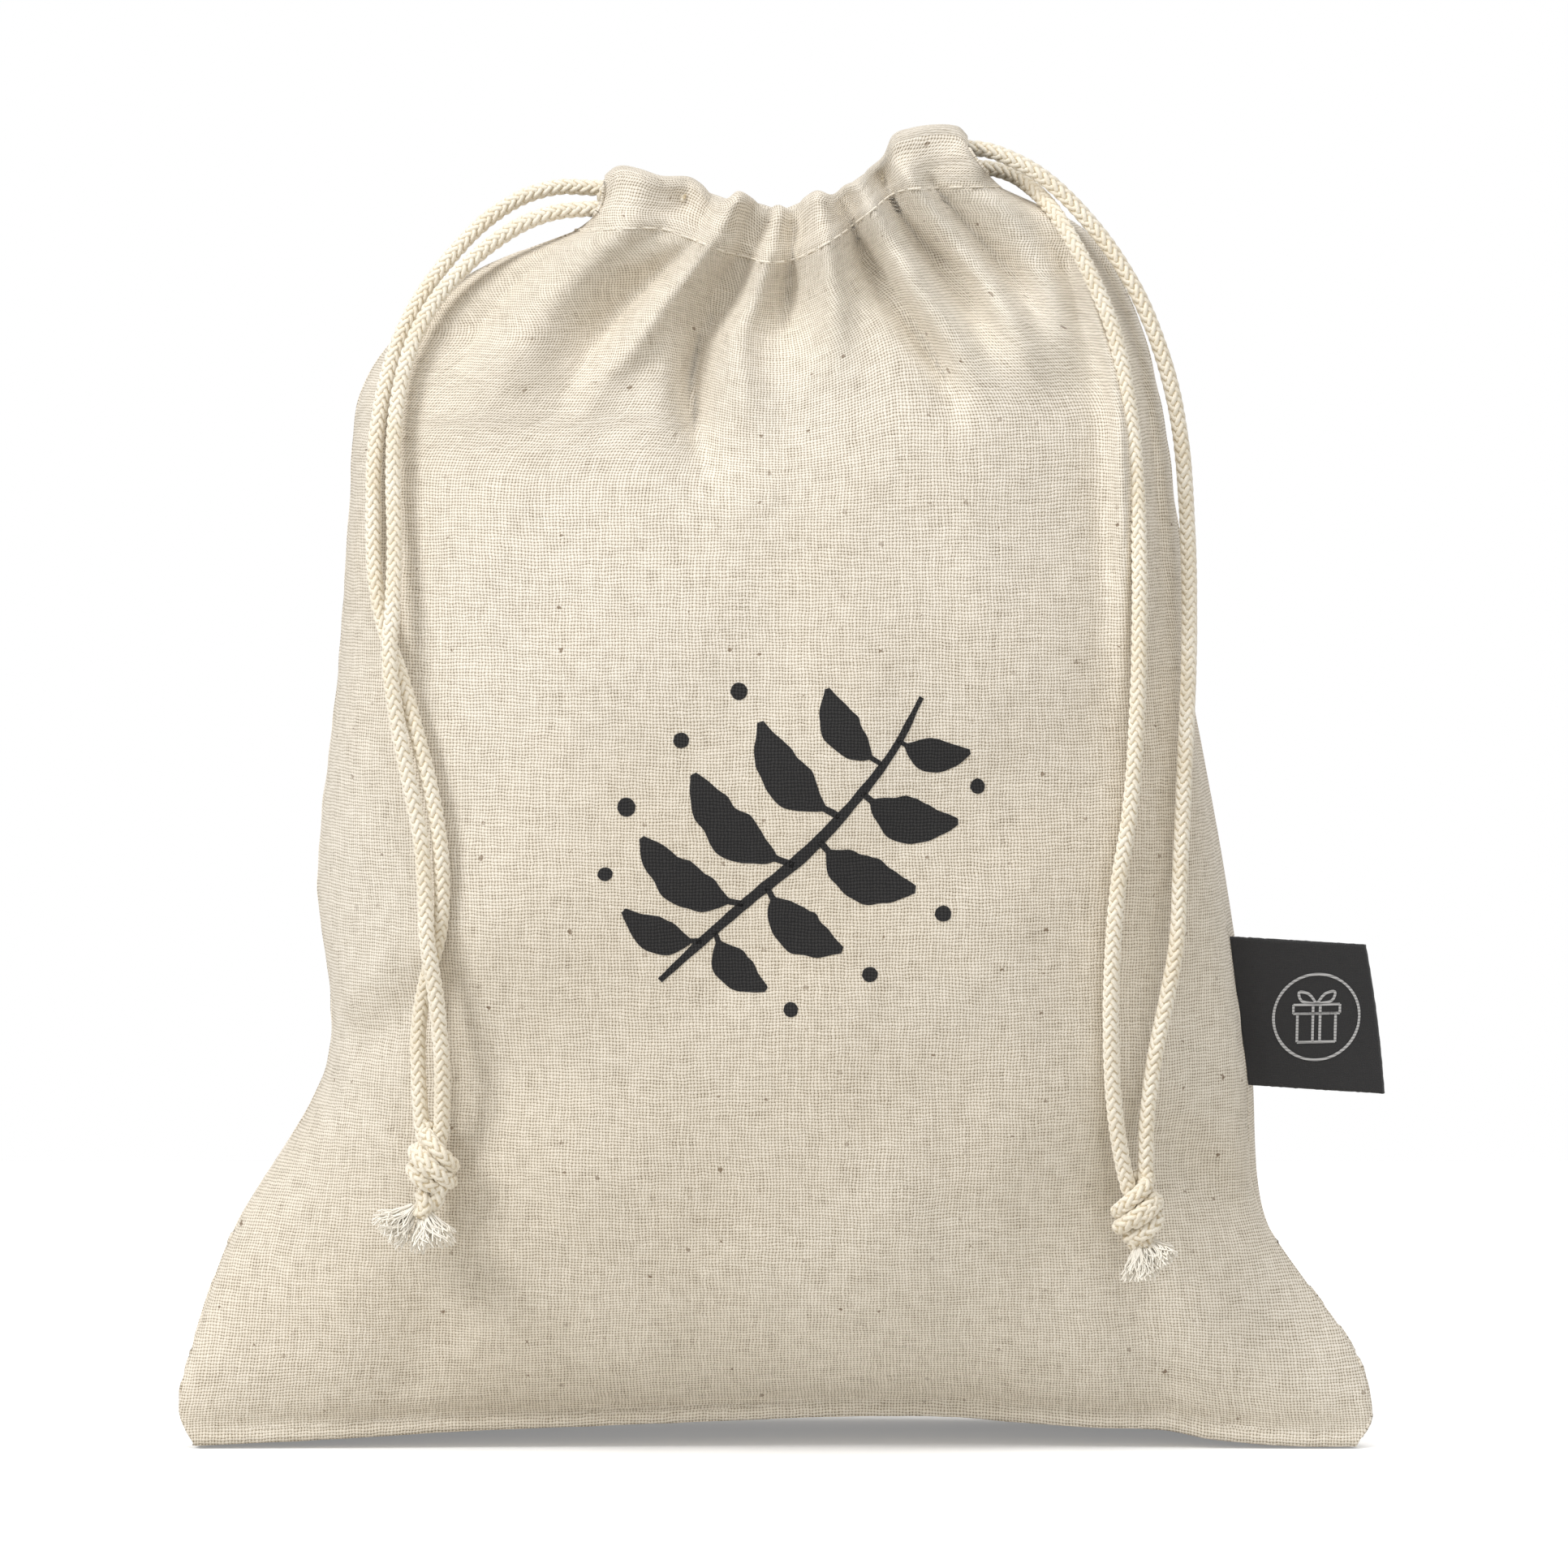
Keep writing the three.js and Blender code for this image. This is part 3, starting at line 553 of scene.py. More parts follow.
strands = [
    {"name": "leftBackStrand", "cord": "left_cord", "tail": "left_tail", "node": "left_cord_back",
        "route": [
            [-21.0, 3.8, 210.0], [-26.0, 3.8, 210.0], [-31.3, 3.8, 210.0], [-35.5, 3.4, 210.2],
            [-40.2, 2.2, 209.3],
            [-44.6, 0.4, 207.3], [-49.2, -1.6, 203.9], [-53.6, -3.8, 199.4], [-57.6, -6.6, 194.2],
            [-60.9, -9.4, 188.8], [-63.4, -12.2, 182.6], [-65.2, -15.0, 175.8], [-66.4, -18.0, 167.0],
            [-66.6, -20.8, 157.0], [-66.2, -24.0, 146.0], [-64.6, -26.8, 138.0], [-61.9, -30.2, 130.4],
            [-59.4, -32.6, 121.9], [-57.2, -34.0, 113.5], [-55.4, -35.0, 104.0], [-54.9, -35.2, 94.8],
            [-55.4, -34.6, 88.0], [-57.6, -33.2, 80.0], [-58.9, -32.8, 72.2], [-58.9, -32.8, 63.3],
            [-58.3, -33.0, 55.4], [-57.6, -33.4, 52.6]]},
    {"name": "leftFrontStrand", "cord": "left_cord", "tail": "left_tail", "node": "left_cord_front",
        "route": [
            [-21.0, -3.8, 206.6], [-26.0, -3.8, 206.6], [-31.3, -3.8, 206.6], [-36.0, -4.4, 206.2],
            [-41.2, -5.4, 204.6], [-46.6, -7.0, 201.4], [-52.2, -9.2, 196.6], [-56.6, -11.8, 191.4],
            [-59.8, -14.6, 185.6], [-61.8, -17.2, 179.2], [-63.0, -20.0, 171.4], [-63.2, -22.8, 162.0],
            [-62.9, -26.0, 151.0], [-63.2, -29.6, 140.6], [-63.6, -32.2, 133.0], [-62.2, -34.0, 122.3],
            [-60.2, -35.0, 112.6], [-58.3, -35.6, 103.0], [-57.7, -36.2, 94.8], [-57.3, -37.0, 86.7],
            [-55.8, -36.6, 76.6], [-55.0, -35.6, 66.0], [-55.2, -33.8, 55.6], [-55.6, -33.6, 52.8]]},
    {"name": "rightFrontStrand", "cord": "right_cord", "tail": "right_tail", "node": "right_cord_front",
        "route": [
            [21.0, -3.8, 216.8], [26.0, -3.8, 216.8], [31.3, -3.8, 216.8], [35.4, -4.2, 216.4],
            [39.6, -4.8, 214.8],
            [43.6, -5.4, 212.6], [47.6, -6.2, 209.4], [51.6, -7.2, 205.2], [56.0, -8.6, 199.6],
            [60.2, -10.2, 192.6],
            [63.4, -11.6, 185.0], [65.8, -12.8, 177.0], [67.4, -13.8, 168.0], [68.2, -14.8, 158.0],
            [68.6, -17.6, 146.0], [68.4, -22.6, 131.0], [67.6, -27.4, 115.0], [66.8, -30.2, 98.0],
            [66.2, -31.4, 86.0], [64.6, -31.8, 77.0], [62.6, -31.8, 67.0], [61.4, -31.2, 57.0],
            [61.1, -30.2, 46.8], [60.7, -30.4, 44.4]]},
    {"name": "rightBackStrand", "cord": "right_cord", "tail": "right_tail", "node": "right_cord_back",
        "route": [
            [21.0, 3.8, 213.4], [26.0, 3.8, 213.4], [31.3, 3.8, 213.4], [35.6, 3.0, 213.3],
            [39.6, 1.0, 212.2],
            [43.0, -2.4, 209.8], [46.2, -6.8, 206.4], [49.4, -10.8, 201.4], [52.2, -13.4, 196.0],
            [54.6, -15.0, 190.6], [56.6, -16.6, 184.6], [58.2, -18.6, 176.6], [59.4, -21.2, 166.6],
            [60.0, -24.4, 155.0], [60.1, -28.4, 140.4], [59.6, -31.8, 124.0], [58.4, -34.0, 108.0],
            [56.6, -35.2, 97.0], [55.6, -35.4, 86.0], [55.3, -34.6, 71.0], [56.1, -32.8, 57.6],
            [57.9, -31.0, 47.2], [58.6, -30.8, 44.6]]},
]


def setBlend(obj, weights):
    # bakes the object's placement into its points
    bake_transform(obj)


def vertsOf(obj):
    flat = np.empty(len(obj.data.vertices) * 3)
    obj.data.vertices.foreach_get("co", flat)
    return flat.reshape(-1, 3)


# each knot is the doubled cord wound round itself; its points are counted from its middle
knotMake = {
    "wrap": [[0.3, 0.5, 5.8], [-0.3, 1.1, 3.9], [-2.5, 1.5, 2.2], [-3.0, -1.0, 1.5], [-0.8, -3.0, 0.9],
        [2.3, -2.2, 0.3], [3.1, 0.6, 0.0], [0.6, 2.6, -0.3], [-2.3, 1.4, -1.0], [-2.2, -1.6, -1.7],
        [0.1, -2.5, -2.2], [1.6, -0.6, -3.0], [0.4, 0.3, -4.4]],
    "halfDouble": 1.18, "size": 1.08, "step": 0.35,
    "left": {"middle": [-56.4, -33.4, 50.0], "node": "left_knot", "body": "left_tail", "turn": 0.0,
        "tilt": 0.62, "flip": 1,
        "tail": [[-1.2, -0.2, -6.2], [-2.4, -0.4, -8.4]]},
    "right": {"middle": [59.9, -30.6, 41.7], "node": "right_knot", "body": "right_tail", "turn": 0.35,
        "tilt": 0.5, "flip": -1,
        "tail": [[0.8, 0.0, -6.0]]},
}


def makeKnot(side):
    spec = knotMake[side]
    c, s = math.cos(spec["turn"]), math.sin(spec["turn"])
    ct, st = math.cos(spec["tilt"]), math.sin(spec["tilt"])
    # the wraps are turned about Z, tilted about Y and mirrored on the right; the ends stay where they are
    wound = np.array(knotMake["wrap"])
    wound[1:-1] = np.column_stack([wound[1:-1, 0] * c - wound[1:-1, 1] * s,
        wound[1:-1, 0] * s + wound[1:-1, 1] * c,
        wound[1:-1, 2]])
    wound[2:-2] = np.column_stack([wound[2:-2, 0] * ct + wound[2:-2, 2] * st, wound[2:-2, 1],
        wound[2:-2, 2] * ct - wound[2:-2, 0] * st])
    wound[1:-1, 0] *= spec["flip"]
    line, _ = densePath(np.vstack([wound, spec["tail"]]), knotMake["step"])
    tangent = np.gradient(line, axis=0)
    tangent /= np.linalg.norm(tangent, axis=1)[:, None]
    beside = np.cross(tangent, line * [1, 1, 0.2] + [0, 1e-3, 0])
    beside /= np.linalg.norm(beside, axis=1)[:, None]
    parts = []
    for k, sign in enumerate((-1, 1)):
        points = (line + beside * sign * knotMake["halfDouble"]) * knotMake["size"]
        parts.append(braidAlong("%sKnotHalf%d" % (side, k), scaled(points + spec["middle"])))
    knotObj = joined("%sKnot" % side, parts)
    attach(knotObj, spec["body"])
    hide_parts(spec["node"])
    return knotObj


def joined(name, parts):
    # one mesh object from several, made by hand so that no operator is needed
    verts, faces, start = [], [], 0
    for part in parts:
        verts.append(vertsOf(part))
        faces += [tuple(i + start for i in poly.vertices) for poly in part.data.polygons]
        start += len(part.data.vertices)
    crowns = [np.zeros(len(part.data.vertices), np.float32) for part in parts]
    for part, values in zip(parts, crowns):
        if "crown" in part.data.attributes:
            part.data.attributes["crown"].data.foreach_get("value", values)
    material = parts[0].data.materials[0]
    for part in parts:
        bpy.data.objects.remove(part)
    obj = meshObject(name, np.vstack(verts), faces, material)
    obj.data.attributes.new("crown", "FLOAT", "POINT").data.foreach_set("value", np.concatenate(crowns))
    return obj


# ---------------------------------------------------------------- frayed ends
tuftMake = {"fibres": 190, "thick": 0.13 * mm, "root": 0.8 * mm, "seed": 5}
tuftMaterial = makeCordMaterial("looseFibre", fromSrgb(255, 254, 250), fromSrgb(255, 251, 242),
    fromSrgb(246, 239, 224))


def makeTuftTree():
    tree, given, out = newTree("frayedEnd", [
        ("Fibres", "NodeSocketInt"), ("Length", "NodeSocketFloat"), ("Root", "NodeSocketFloat"),
        ("Spread", "NodeSocketFloat"), ("Thick", "NodeSocketFloat"), ("Seed", "NodeSocketInt"),
        ("Aim", "NodeSocketVector"), ("From", "NodeSocketVector"), ("Finish", "NodeSocketMaterial")])
    g = given.outputs
    points = addNode(tree, "GeometryNodePoints", {"Count": g["Fibres"]})
    line = addNode(tree, "GeometryNodeCurvePrimitiveLine", {"End": (0, 0, 1)})
    steps = addNode(tree, "GeometryNodeResampleCurve", {"Curve": line.outputs[0], "Count": 9}, mode="COUNT")
    placed = addNode(tree, "GeometryNodeInstanceOnPoints",
        {"Points": points.outputs[0], "Instance": steps.outputs[0]})
    held = placed.outputs[0]
    for offset, (name, low, high) in enumerate((("fibreTurn", 0.0, 2 * math.pi), ("fibreOut", 0.0, 1.0),
            ("fibreLong", 0.62, 1.0), ("fibreBend", -1.0, 1.0))):
        value = addNode(tree, "FunctionNodeRandomValue", {
            2: low, 3: high, "Seed": plus(tree, g["Seed"], float(offset))}, data_type="FLOAT").outputs[1]
        held = addNode(tree, "GeometryNodeStoreNamedAttribute",
            {"Geometry": held, "Name": name, "Value": value},
            data_type="FLOAT", domain="INSTANCE").outputs[0]
    held = addNode(tree, "GeometryNodeRealizeInstances", {0: held}).outputs[0]

    def kept(name):
        return addNode(tree, "GeometryNodeInputNamedAttribute", {"Name": name}, data_type="FLOAT").outputs[0]

    t = addNode(tree, "GeometryNodeSplineParameter").outputs["Factor"]
    out_ = math_(tree, "SQRT", kept("fibreOut"))
    grow = math_(tree, "POWER", t, 1.25)
    reach = times(tree, out_, plus(tree, g["Root"], times(tree, grow, g["Spread"])))
    bend = times(tree, kept("fibreBend"), times(tree, t, t))
    angle = plus(tree, kept("fibreTurn"), bend)
    ripple = math_(tree, "SINE", math_(tree, "MULTIPLY_ADD", t, 9.0, times(tree, kept("fibreTurn"), 5.0)))
    wave = times(tree, ripple, times(tree, t, 0.00022))
    drop = times(tree, times(tree, t, kept("fibreLong")), g["Length"])
    local = addNode(tree, "ShaderNodeCombineXYZ", {
        0: math_(tree, "MULTIPLY_ADD", math_(tree, "COSINE", angle), reach, wave),
        1: math_(tree, "MULTIPLY_ADD", math_(tree, "SINE", angle), reach, wave), 2: drop}).outputs[0]
    turn = addNode(tree, "FunctionNodeAlignRotationToVector", {"Vector": g["Aim"]}, axis="Z")
    turned = addNode(tree, "FunctionNodeRotateVector", {0: local, 1: turn.outputs[0]}).outputs[0]
    moved = addNode(tree, "GeometryNodeSetPosition", {"Geometry": held,
        "Position": vmath(tree, "ADD", turned, g["From"])})
    finishTree(tree, tubeAlong(tree, moved.outputs[0], 4, g["Thick"]), g["Finish"], out)
    return tree


tuftTree = makeTuftTree()
tufts = [
    {"name": "leftTuftOuter", "node": "left_frayed_end_outer", "body": "left_tail",
        "from": [-59.6, -33.9, 42.6],
        "to": [-64.6, -35.2, 37.6], "spread": 2.9},
    {"name": "leftTuftInner", "node": "left_frayed_end_inner", "body": "left_tail",
        "from": [-58.0, -34.0, 42.2],
        "to": [-56.4, -35.4, 35.6], "spread": 3.4},
    {"name": "rightTuftOuter", "node": "right_frayed_end_outer", "body": "right_tail",
        "from": [61.0, -30.8, 37.2],
        "to": [64.6, -31.6, 32.4], "spread": 2.3},
    {"name": "rightTuftInner", "node": "right_frayed_end_inner", "body": "right_tail",
        "from": [60.2, -30.8, 36.2],
        "to": [60.4, -31.6, 29.8], "spread": 2.2},
]


def makeTuft(spec, number):
    start, end = scaled(spec["from"]), scaled(spec["to"])
    seedMesh = meshObject(spec["name"] + "Seed", [tuple(start)], [])
    obj = runTree(seedMesh, tuftTree, {
        "Fibres": tuftMake["fibres"], "Length": float(np.linalg.norm(end - start)), "Root": tuftMake["root"],
        "Spread": spec["spread"] * mm, "Thick": tuftMake["thick"], "Seed": tuftMake["seed"] + 10 * number,
        "Aim": tuple(end - start), "From": tuple(start), "Finish": tuftMaterial}, spec["name"])
    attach(obj, spec["body"])
    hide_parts(spec["node"])
    return obj


tuftPieces = {spec["name"]: makeTuft(spec, number) for number, spec in enumerate(tufts)}
knotPieces = {side: makeKnot(side) for side in ("left", "right")}
print("knots and frayed ends made")

strandLift = {"from": 33.5, "to": 50.0}     # along X, where a strand starts to follow its tail


def makeStrand(spec):
    path, length = densePath(scaled(spec["route"]), 2.0 * mm)
    obj = braidAlong(spec["name"], path)
    reach = np.abs(vertsOf(obj)[:, 0]) / unit
    setBlend(obj, smooth(strandLift["from"], strandLift["to"], reach))
    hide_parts(spec["node"] + "_root", spec["node"] + "_strand")
    return obj


for spec in strands:
    makeStrand(spec)
print("strands made")

# turns of the drawcords at the ends of the channels, and the runs hidden inside them
turns = [
    {"name": "leftCordTurn", "node": "left_cord_turn", "end": 1, "out": 31.6, "front": 213.4, "back": 216.8},
    {"name": "rightCordTurn", "node": "right_cord_turn", "end": -1, "out": 28.6, "front": 210.0,
        "back": 206.6},
]
for spec in turns:
    e = spec["end"]
    mid = (spec["front"] + spec["back"]) / 2
    x0 = spec["out"]
    bend = [[(x0 - 3.9) * e, -3.8, spec["front"]], [(x0 - 2.3) * e, -3.8, spec["front"]],
        [(x0 - 0.9) * e, -2.4, mid + (spec["front"] - mid) * 0.88], [x0 * e, 0.0, mid],
        [(x0 - 0.9) * e, 2.4, mid + (spec["back"] - mid) * 0.88], [(x0 - 2.3) * e, 3.8, spec["back"]],
        [(x0 - 3.9) * e, 3.8, spec["back"]]]
    path, _ = densePath(scaled(bend), 0.6 * mm)
    obj = braidAlong(spec["name"], path)
    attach(obj, "sack")
    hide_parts(spec["node"])
print("cord turns made")


# ---------------------------------------------------------------- the sack's cloth, in millimetres
# height, left and right half-widths, front and back depths, side seam depth, fullness
sackStations = np.array([
    [0, 97, 97, -9, 28, -15, 1.0], [6, 99.5, 99.5, -20, 31, -14, 1.5], [16, 97.5, 96.5, -28, 34, -12, 1.7],
    [36, 90.5, 83.5, -35, 37, -7, 1.5], [64, 75, 80.8, -39, 38.5, -2, 0.95],
    [95, 76.6, 76.4, -40, 39, 0, 0.7],
    [130, 73, 70, -38, 36, 0, 0.62], [158, 71, 66.5, -31, 30, 0, 0.66], [174, 69, 63, -24, 23.5, 0, 0.72],
    [185, 60, 57.5, -17.5, 17.5, 0, 0.8], [192, 49.5, 51, -12.8, 12.8, 0, 0.9],
    [198, 34, 38, -10.6, 10.6, 0, 1.0]])
cadTop = [[-31, 213.0], [-20, 213.4], [-14, 211.6], [-6, 208.8], [2, 208.0], [11, 212.6], [20, 219.4],
    [26, 220.0],
    [33, 220.2]]
clothMake = {
    "columns": 200, "skinRows": 168, "channelRows": 18, "rimRows": 6, "hemRows": 8, "underRows": 20,
    "top": 198.0, "channel": 10.3, "thick": 0.45, "seamHalf": 0.75, "rim": 1.7,
    "mouthMiddle": 6.0, "mouthEnd": 3.8, "channelHalf": 2.8,
    # top edge of the gathered mouth along X: left edge, lumps over the gathers, right edge
    "frontRim": [[-31, 209.0], [-28.5, 212.2], [-26.2, 213.8], [-22.8, 213.4], [-19.1, 212.2], [-14.5, 212.0],
        [-12.3, 210.8], [-10.5, 208.9], [-8.2, 208.4], [-6.2, 209.7], [-4.0, 208.6], [-1.7, 206.6],
        [0.4, 207.4], [2.8, 206.6], [4.8, 208.6], [6.9, 209.8], [9.5, 209.1], [11.6, 210.7],
        [14.2, 211.7], [15.2, 213.1], [18.0, 215.6], [19.4, 218.8], [22.5, 220.1], [26.7, 220.7],
        [30.3, 220.4], [31.6, 219.3], [33.5, 216.6], [36.0, 213.5]],
    "backRim": [[-31, 209.5], [-27, 212.6], [-22, 212.8], [-17, 211.0], [-12, 209.4], [-7, 207.8],
        [-3, 207.4],
        [1, 206.4], [5, 207.8], [9, 208.0], [13, 211.0], [17, 214.0], [21, 218.0], [26, 219.2],
        [30, 218.6], [34, 215.0]],
    # the bottom edge is lifted a little between the corners that the sack stands on
    "frontArch": [[-97.6, 0.5], [-70, 1.9], [-52.7, 3.0], [-42.9, 3.4], [-7.8, 4.8], [11.9, 5.5], [29, 5.4],
        [42, 4.4], [53, 3.6], [64.7, 3.2], [72.6, 1.7], [85.8, 0.5], [97.6, 0.4]],
    "backArch": [[-97, 0.4], [-60, 0.6], [-20, 2.4], [20, 2.6], [60, 0.7], [97, 0.4]],
}

# folds below the gathered mouth: how far they stand out (below 0 they sink in), the half widths to
# their left and right, and their line from the rim downwards as x and z
frontFolds = [
    (-3.6, 4.0, 3.0, [[-11.8, 206.2], [-13.4, 201.8], [-18.4, 196.4], [-23.8, 191.4], [-29.3, 185.4],
        [-33.5, 178.1], [-38, 168]]),
    (3.4, 2.3, 3.2, [[-5.8, 209.5], [-9.1, 204.6], [-14.0, 197.4], [-18.9, 191.4], [-23.8, 184.9],
        [-28.7, 179.5], [-34, 168]]),
    (-6.5, 2.6, 1.8, [[-2.5, 206.7], [-5.0, 199.1], [-8.5, 192.0], [-12.1, 186.0], [-13.7, 180.0],
        [-13.4, 171.8], [-11.3, 164.6], [-8.0, 158]]),
    (2.4, 2.2, 3.6, [[0.2, 207.6], [-2.0, 199.6], [-4.1, 192.0], [-6.3, 186.5], [-5.4, 177.9], [-2, 166]]),
    (-2.6, 1.5, 1.8, [[3.5, 206.2], [3.0, 200.7], [2.6, 195.9], [1.8, 189], [1.2, 180]]),
    (2.4, 2.3, 2.1, [[7.3, 209.7], [7.9, 204.0], [9.0, 197.4], [9.6, 190], [9.0, 176]]),
    (-4.6, 1.9, 1.6, [[11.4, 208.4], [13.3, 202.4], [15.5, 198.0], [18.8, 192.5], [22.6, 187.6],
        [27.5, 180], [31, 168]]),
    (2.6, 2.2, 2.2, [[13.8, 210.8], [16.9, 205.6], [20.5, 199.1], [24.6, 192.0], [30, 184], [35, 172]]),
    (-4.0, 1.9, 2.0, [[18.0, 211.8], [20.2, 206.7], [23.6, 201.8], [28.2, 196.9], [33.0, 190], [38, 180]]),
    (2.4, 2.1, 2.3, [[21.8, 212.6], [26.1, 206.7], [30.6, 200.7], [35.6, 194.2], [41, 185], [45, 172]]),
    (-3.0, 2.0, 2.2, [[25.8, 211.0], [30.8, 205.0], [36.3, 199.0], [41.8, 192.5], [46.5, 184]]),
    (1.9, 2.6, 3.0, [[31.8, 216.0], [36.8, 208.4], [42.0, 200.6], [47, 190], [50.5, 176]]),
    (3.6, 6.5, 1.9, [[45.1, 208.0], [50.3, 199.3], [54.2, 187.8], [56.9, 177], [57.8, 160], [58.2, 140],
        [58.6, 112]]),
    (-3.4, 2.2, 5.0, [[49.5, 206.0], [55.4, 195.5], [59.6, 185], [62.0, 173], [63.6, 155], [65.0, 138],
        [66.5, 112]]),
    (2.4, 4.5, 4.0, [[-21.5, 213.0], [-25.0, 205.0], [-31.5, 198.5], [-39, 191], [-46, 180], [-50, 165]]),
    (-2.0, 3.0, 3.0, [[-30.0, 207.5], [-37, 200.0], [-45, 192.5], [-52, 182], [-55, 168]]),
    (-1.8, 1.6, 1.3, [[-14.5, 212.0], [-14.2, 209.0], [-16.5, 205.5]]),
    (-1.7, 3.6, 3.0, [[-73, 66], [-66, 70.5], [-58, 77], [-51, 86]]),
    (1.2, 3.8, 4.2, [[-76, 76], [-68, 78.5], [-60, 85], [-55, 95]]),
    (-1.5, 3.5, 3.5, [[82, 37], [74, 42], [66, 50.5], [60, 62]]),
    (1.1, 4.0, 4.5, [[84, 47], [76, 51], [69, 60], [65, 72]]),
    (-1.2, 4.0, 4.0, [[66, 3], [63.5, 12], [59, 24], [56, 38]]),
    (-1.0, 5.0, 5.0, [[-64, 3], [-59, 14], [-55, 28], [-53, 40]]),
]
backFolds = [
    (2.8, 2.6, 2.4, [[-22, 213], [-26, 203], [-34, 193], [-42, 180], [-47, 160]]),
    (-4.2, 2.2, 2.0, [[-16, 211], [-19, 202], [-24, 192], [-28, 180], [-29, 165]]),
    (3.0, 2.4, 2.6, [[-10, 209], [-12, 200], [-15, 190], [-16, 176], [-15, 158]]),
    (-5.0, 2.0, 2.3, [[-4.5, 208], [-5, 199], [-5, 188], [-3, 174], [0, 160]]),
    (2.6, 2.4, 2.4, [[1, 207], [1.5, 199], [3, 189], [6, 176], [8, 160]]),
    (-4.0, 1.9, 1.9, [[7, 208.5], [8.5, 200], [12, 190], [17, 178], [21, 164]]),
    (2.8, 2.3, 2.5, [[13, 211.5], [16, 202], [21, 193], [27, 181], [31, 165]]),
    (-3.6, 2.0, 2.1, [[19, 216], [23, 206], [29, 197], [36, 186], [41, 170]]),
    (2.4, 2.6, 2.8, [[27, 218], [32, 208], [39, 198], [46, 184], [50, 165]]),
    (-2.2, 3.0, 3.0, [[-31, 208], [-38, 199], [-47, 190], [-54, 176]]),
    (-1.4, 4.0, 4.0, [[74, 64], [65, 70], [56, 80], [50, 94]]),
    (-1.4, 4.0, 4.0, [[-84, 36], [-72, 44], [-62, 56], [-57, 70]]),
    (1.2, 5.0, 5.0, [[-30, 20], [-24, 40], [-21, 64], [-22, 88]]),
]


def foldLift(folds, x, z):
    # sum of the folds at each point; a fold fades in at its top and out along its lower half
    total = np.zeros_like(x)
    for out, leftWidth, rightWidth, points in folds:
        line, _ = densePath([[px, 0, pz] for px, pz in points], 1.2)
        line = line[:, [0, 2]]
        step = np.diff(line, axis=0)
        nearest = np.full(x.shape, 1e9)
        signed = np.zeros_like(x)
        share = np.zeros_like(x)
        for k, ((ax, az), (dx, dz)) in enumerate(zip(line[:-1], step)):
            size = math.hypot(dx, dz)
            t = np.clip(((x - ax) * dx + (z - az) * dz) / size ** 2, 0, 1)
            px, pz = x - ax - t * dx, z - az - t * dz
            away = np.hypot(px, pz)
            closer = away < nearest
            nearest = np.where(closer, away, nearest)
            signed = np.where(closer, np.sign(px * -dz + pz * dx), signed)
            share = np.where(closer, (k + t) / len(step), share)
        spread = np.where(signed < 0, rightWidth, leftWidth) * (1 + 0.6 * share)
        high = line[0][1] > 190
        fade = 1 - smooth(0.5, 1.0, share)
        if not high:
            fade = fade * smooth(0.0, 0.22, share + 0.04)
        # a valley is a crease with steep sides, a ridge is a soft roll
        form = 1.25 if out < 0 and high else 2
        # the cord's channel above the stitching stays rounder, so that the cords inside stay covered
        depth = 1.35 + 0.75 * (1 - smooth(195, 203, z)) if high else 1.0
        total += out * depth * np.exp(-(nearest / spread) ** form) * fade
    return total


def noiseLift(x, y, z, size, seed):
    return np.array([noise.noise(Vector((px / size + seed, py / size, pz / size)))
        for px, py, pz in zip(x.ravel(), y.ravel(), z.ravel())]).reshape(x.shape)


def sackRows(side):
    # every row as (kind, parameter), from the flat under the sack up over the rim and down inside
    rows = []
    if side > 0:
        rows += [("under", k / clothMake["underRows"]) for k in range(clothMake["underRows"])]
    skinRows = clothMake["skinRows"]
    rows += [("skin", clothMake["top"] * (1 - (1 - k / skinRows) ** 1.12)) for k in range(skinRows)]
    rows += [("channel", k / clothMake["channelRows"]) for k in range(clothMake["channelRows"])]
    rows += [("rim", k / clothMake["rimRows"]) for k in range(clothMake["rimRows"])]
    rows += [("hem", k / clothMake["hemRows"]) for k in range(clothMake["hemRows"] + 1)]
    return rows


def skinPlace(side, u, level):
    left, right, front, back, seam, full = (curveThrough(sackStations[:, [0, k]], level) for k in range(1, 7))
    depth = front if side < 0 else back
    cosine = np.cos(math.pi * u)
    across = -np.sign(cosine) * np.abs(cosine) ** (0.75 + 0.147 * full)
    x = np.where(across < 0, across * left, across * right)
    edge = seam + side * clothMake["seamHalf"]
    y = edge + side * np.maximum(0, side * depth - side * edge) * np.sin(math.pi * u) ** full
    # low on the right the seam has turned a little to the front
    turned = smooth(30, 44, level) * (1 - smooth(116, 136, level))
    near = smooth(0.86, 1, u)
    x = x - 2.3 * turned * near
    if side > 0:
        x = x + 2.0 * turned * np.sin(math.pi * np.clip((u - 0.84) / 0.16, 0, 1))
    y = y - 1.2 * turned * smooth(0.8, 1, u)
    rise = smooth(150, clothMake["top"], level)
    z = level + (curveThrough(cadTop, x) - clothMake["channel"] - clothMake["top"]) * rise
    arch = curveThrough(clothMake["frontArch" if side < 0 else "backArch"], x)
    return x, y, z + arch * (1 - smooth(0, 34, level)), across


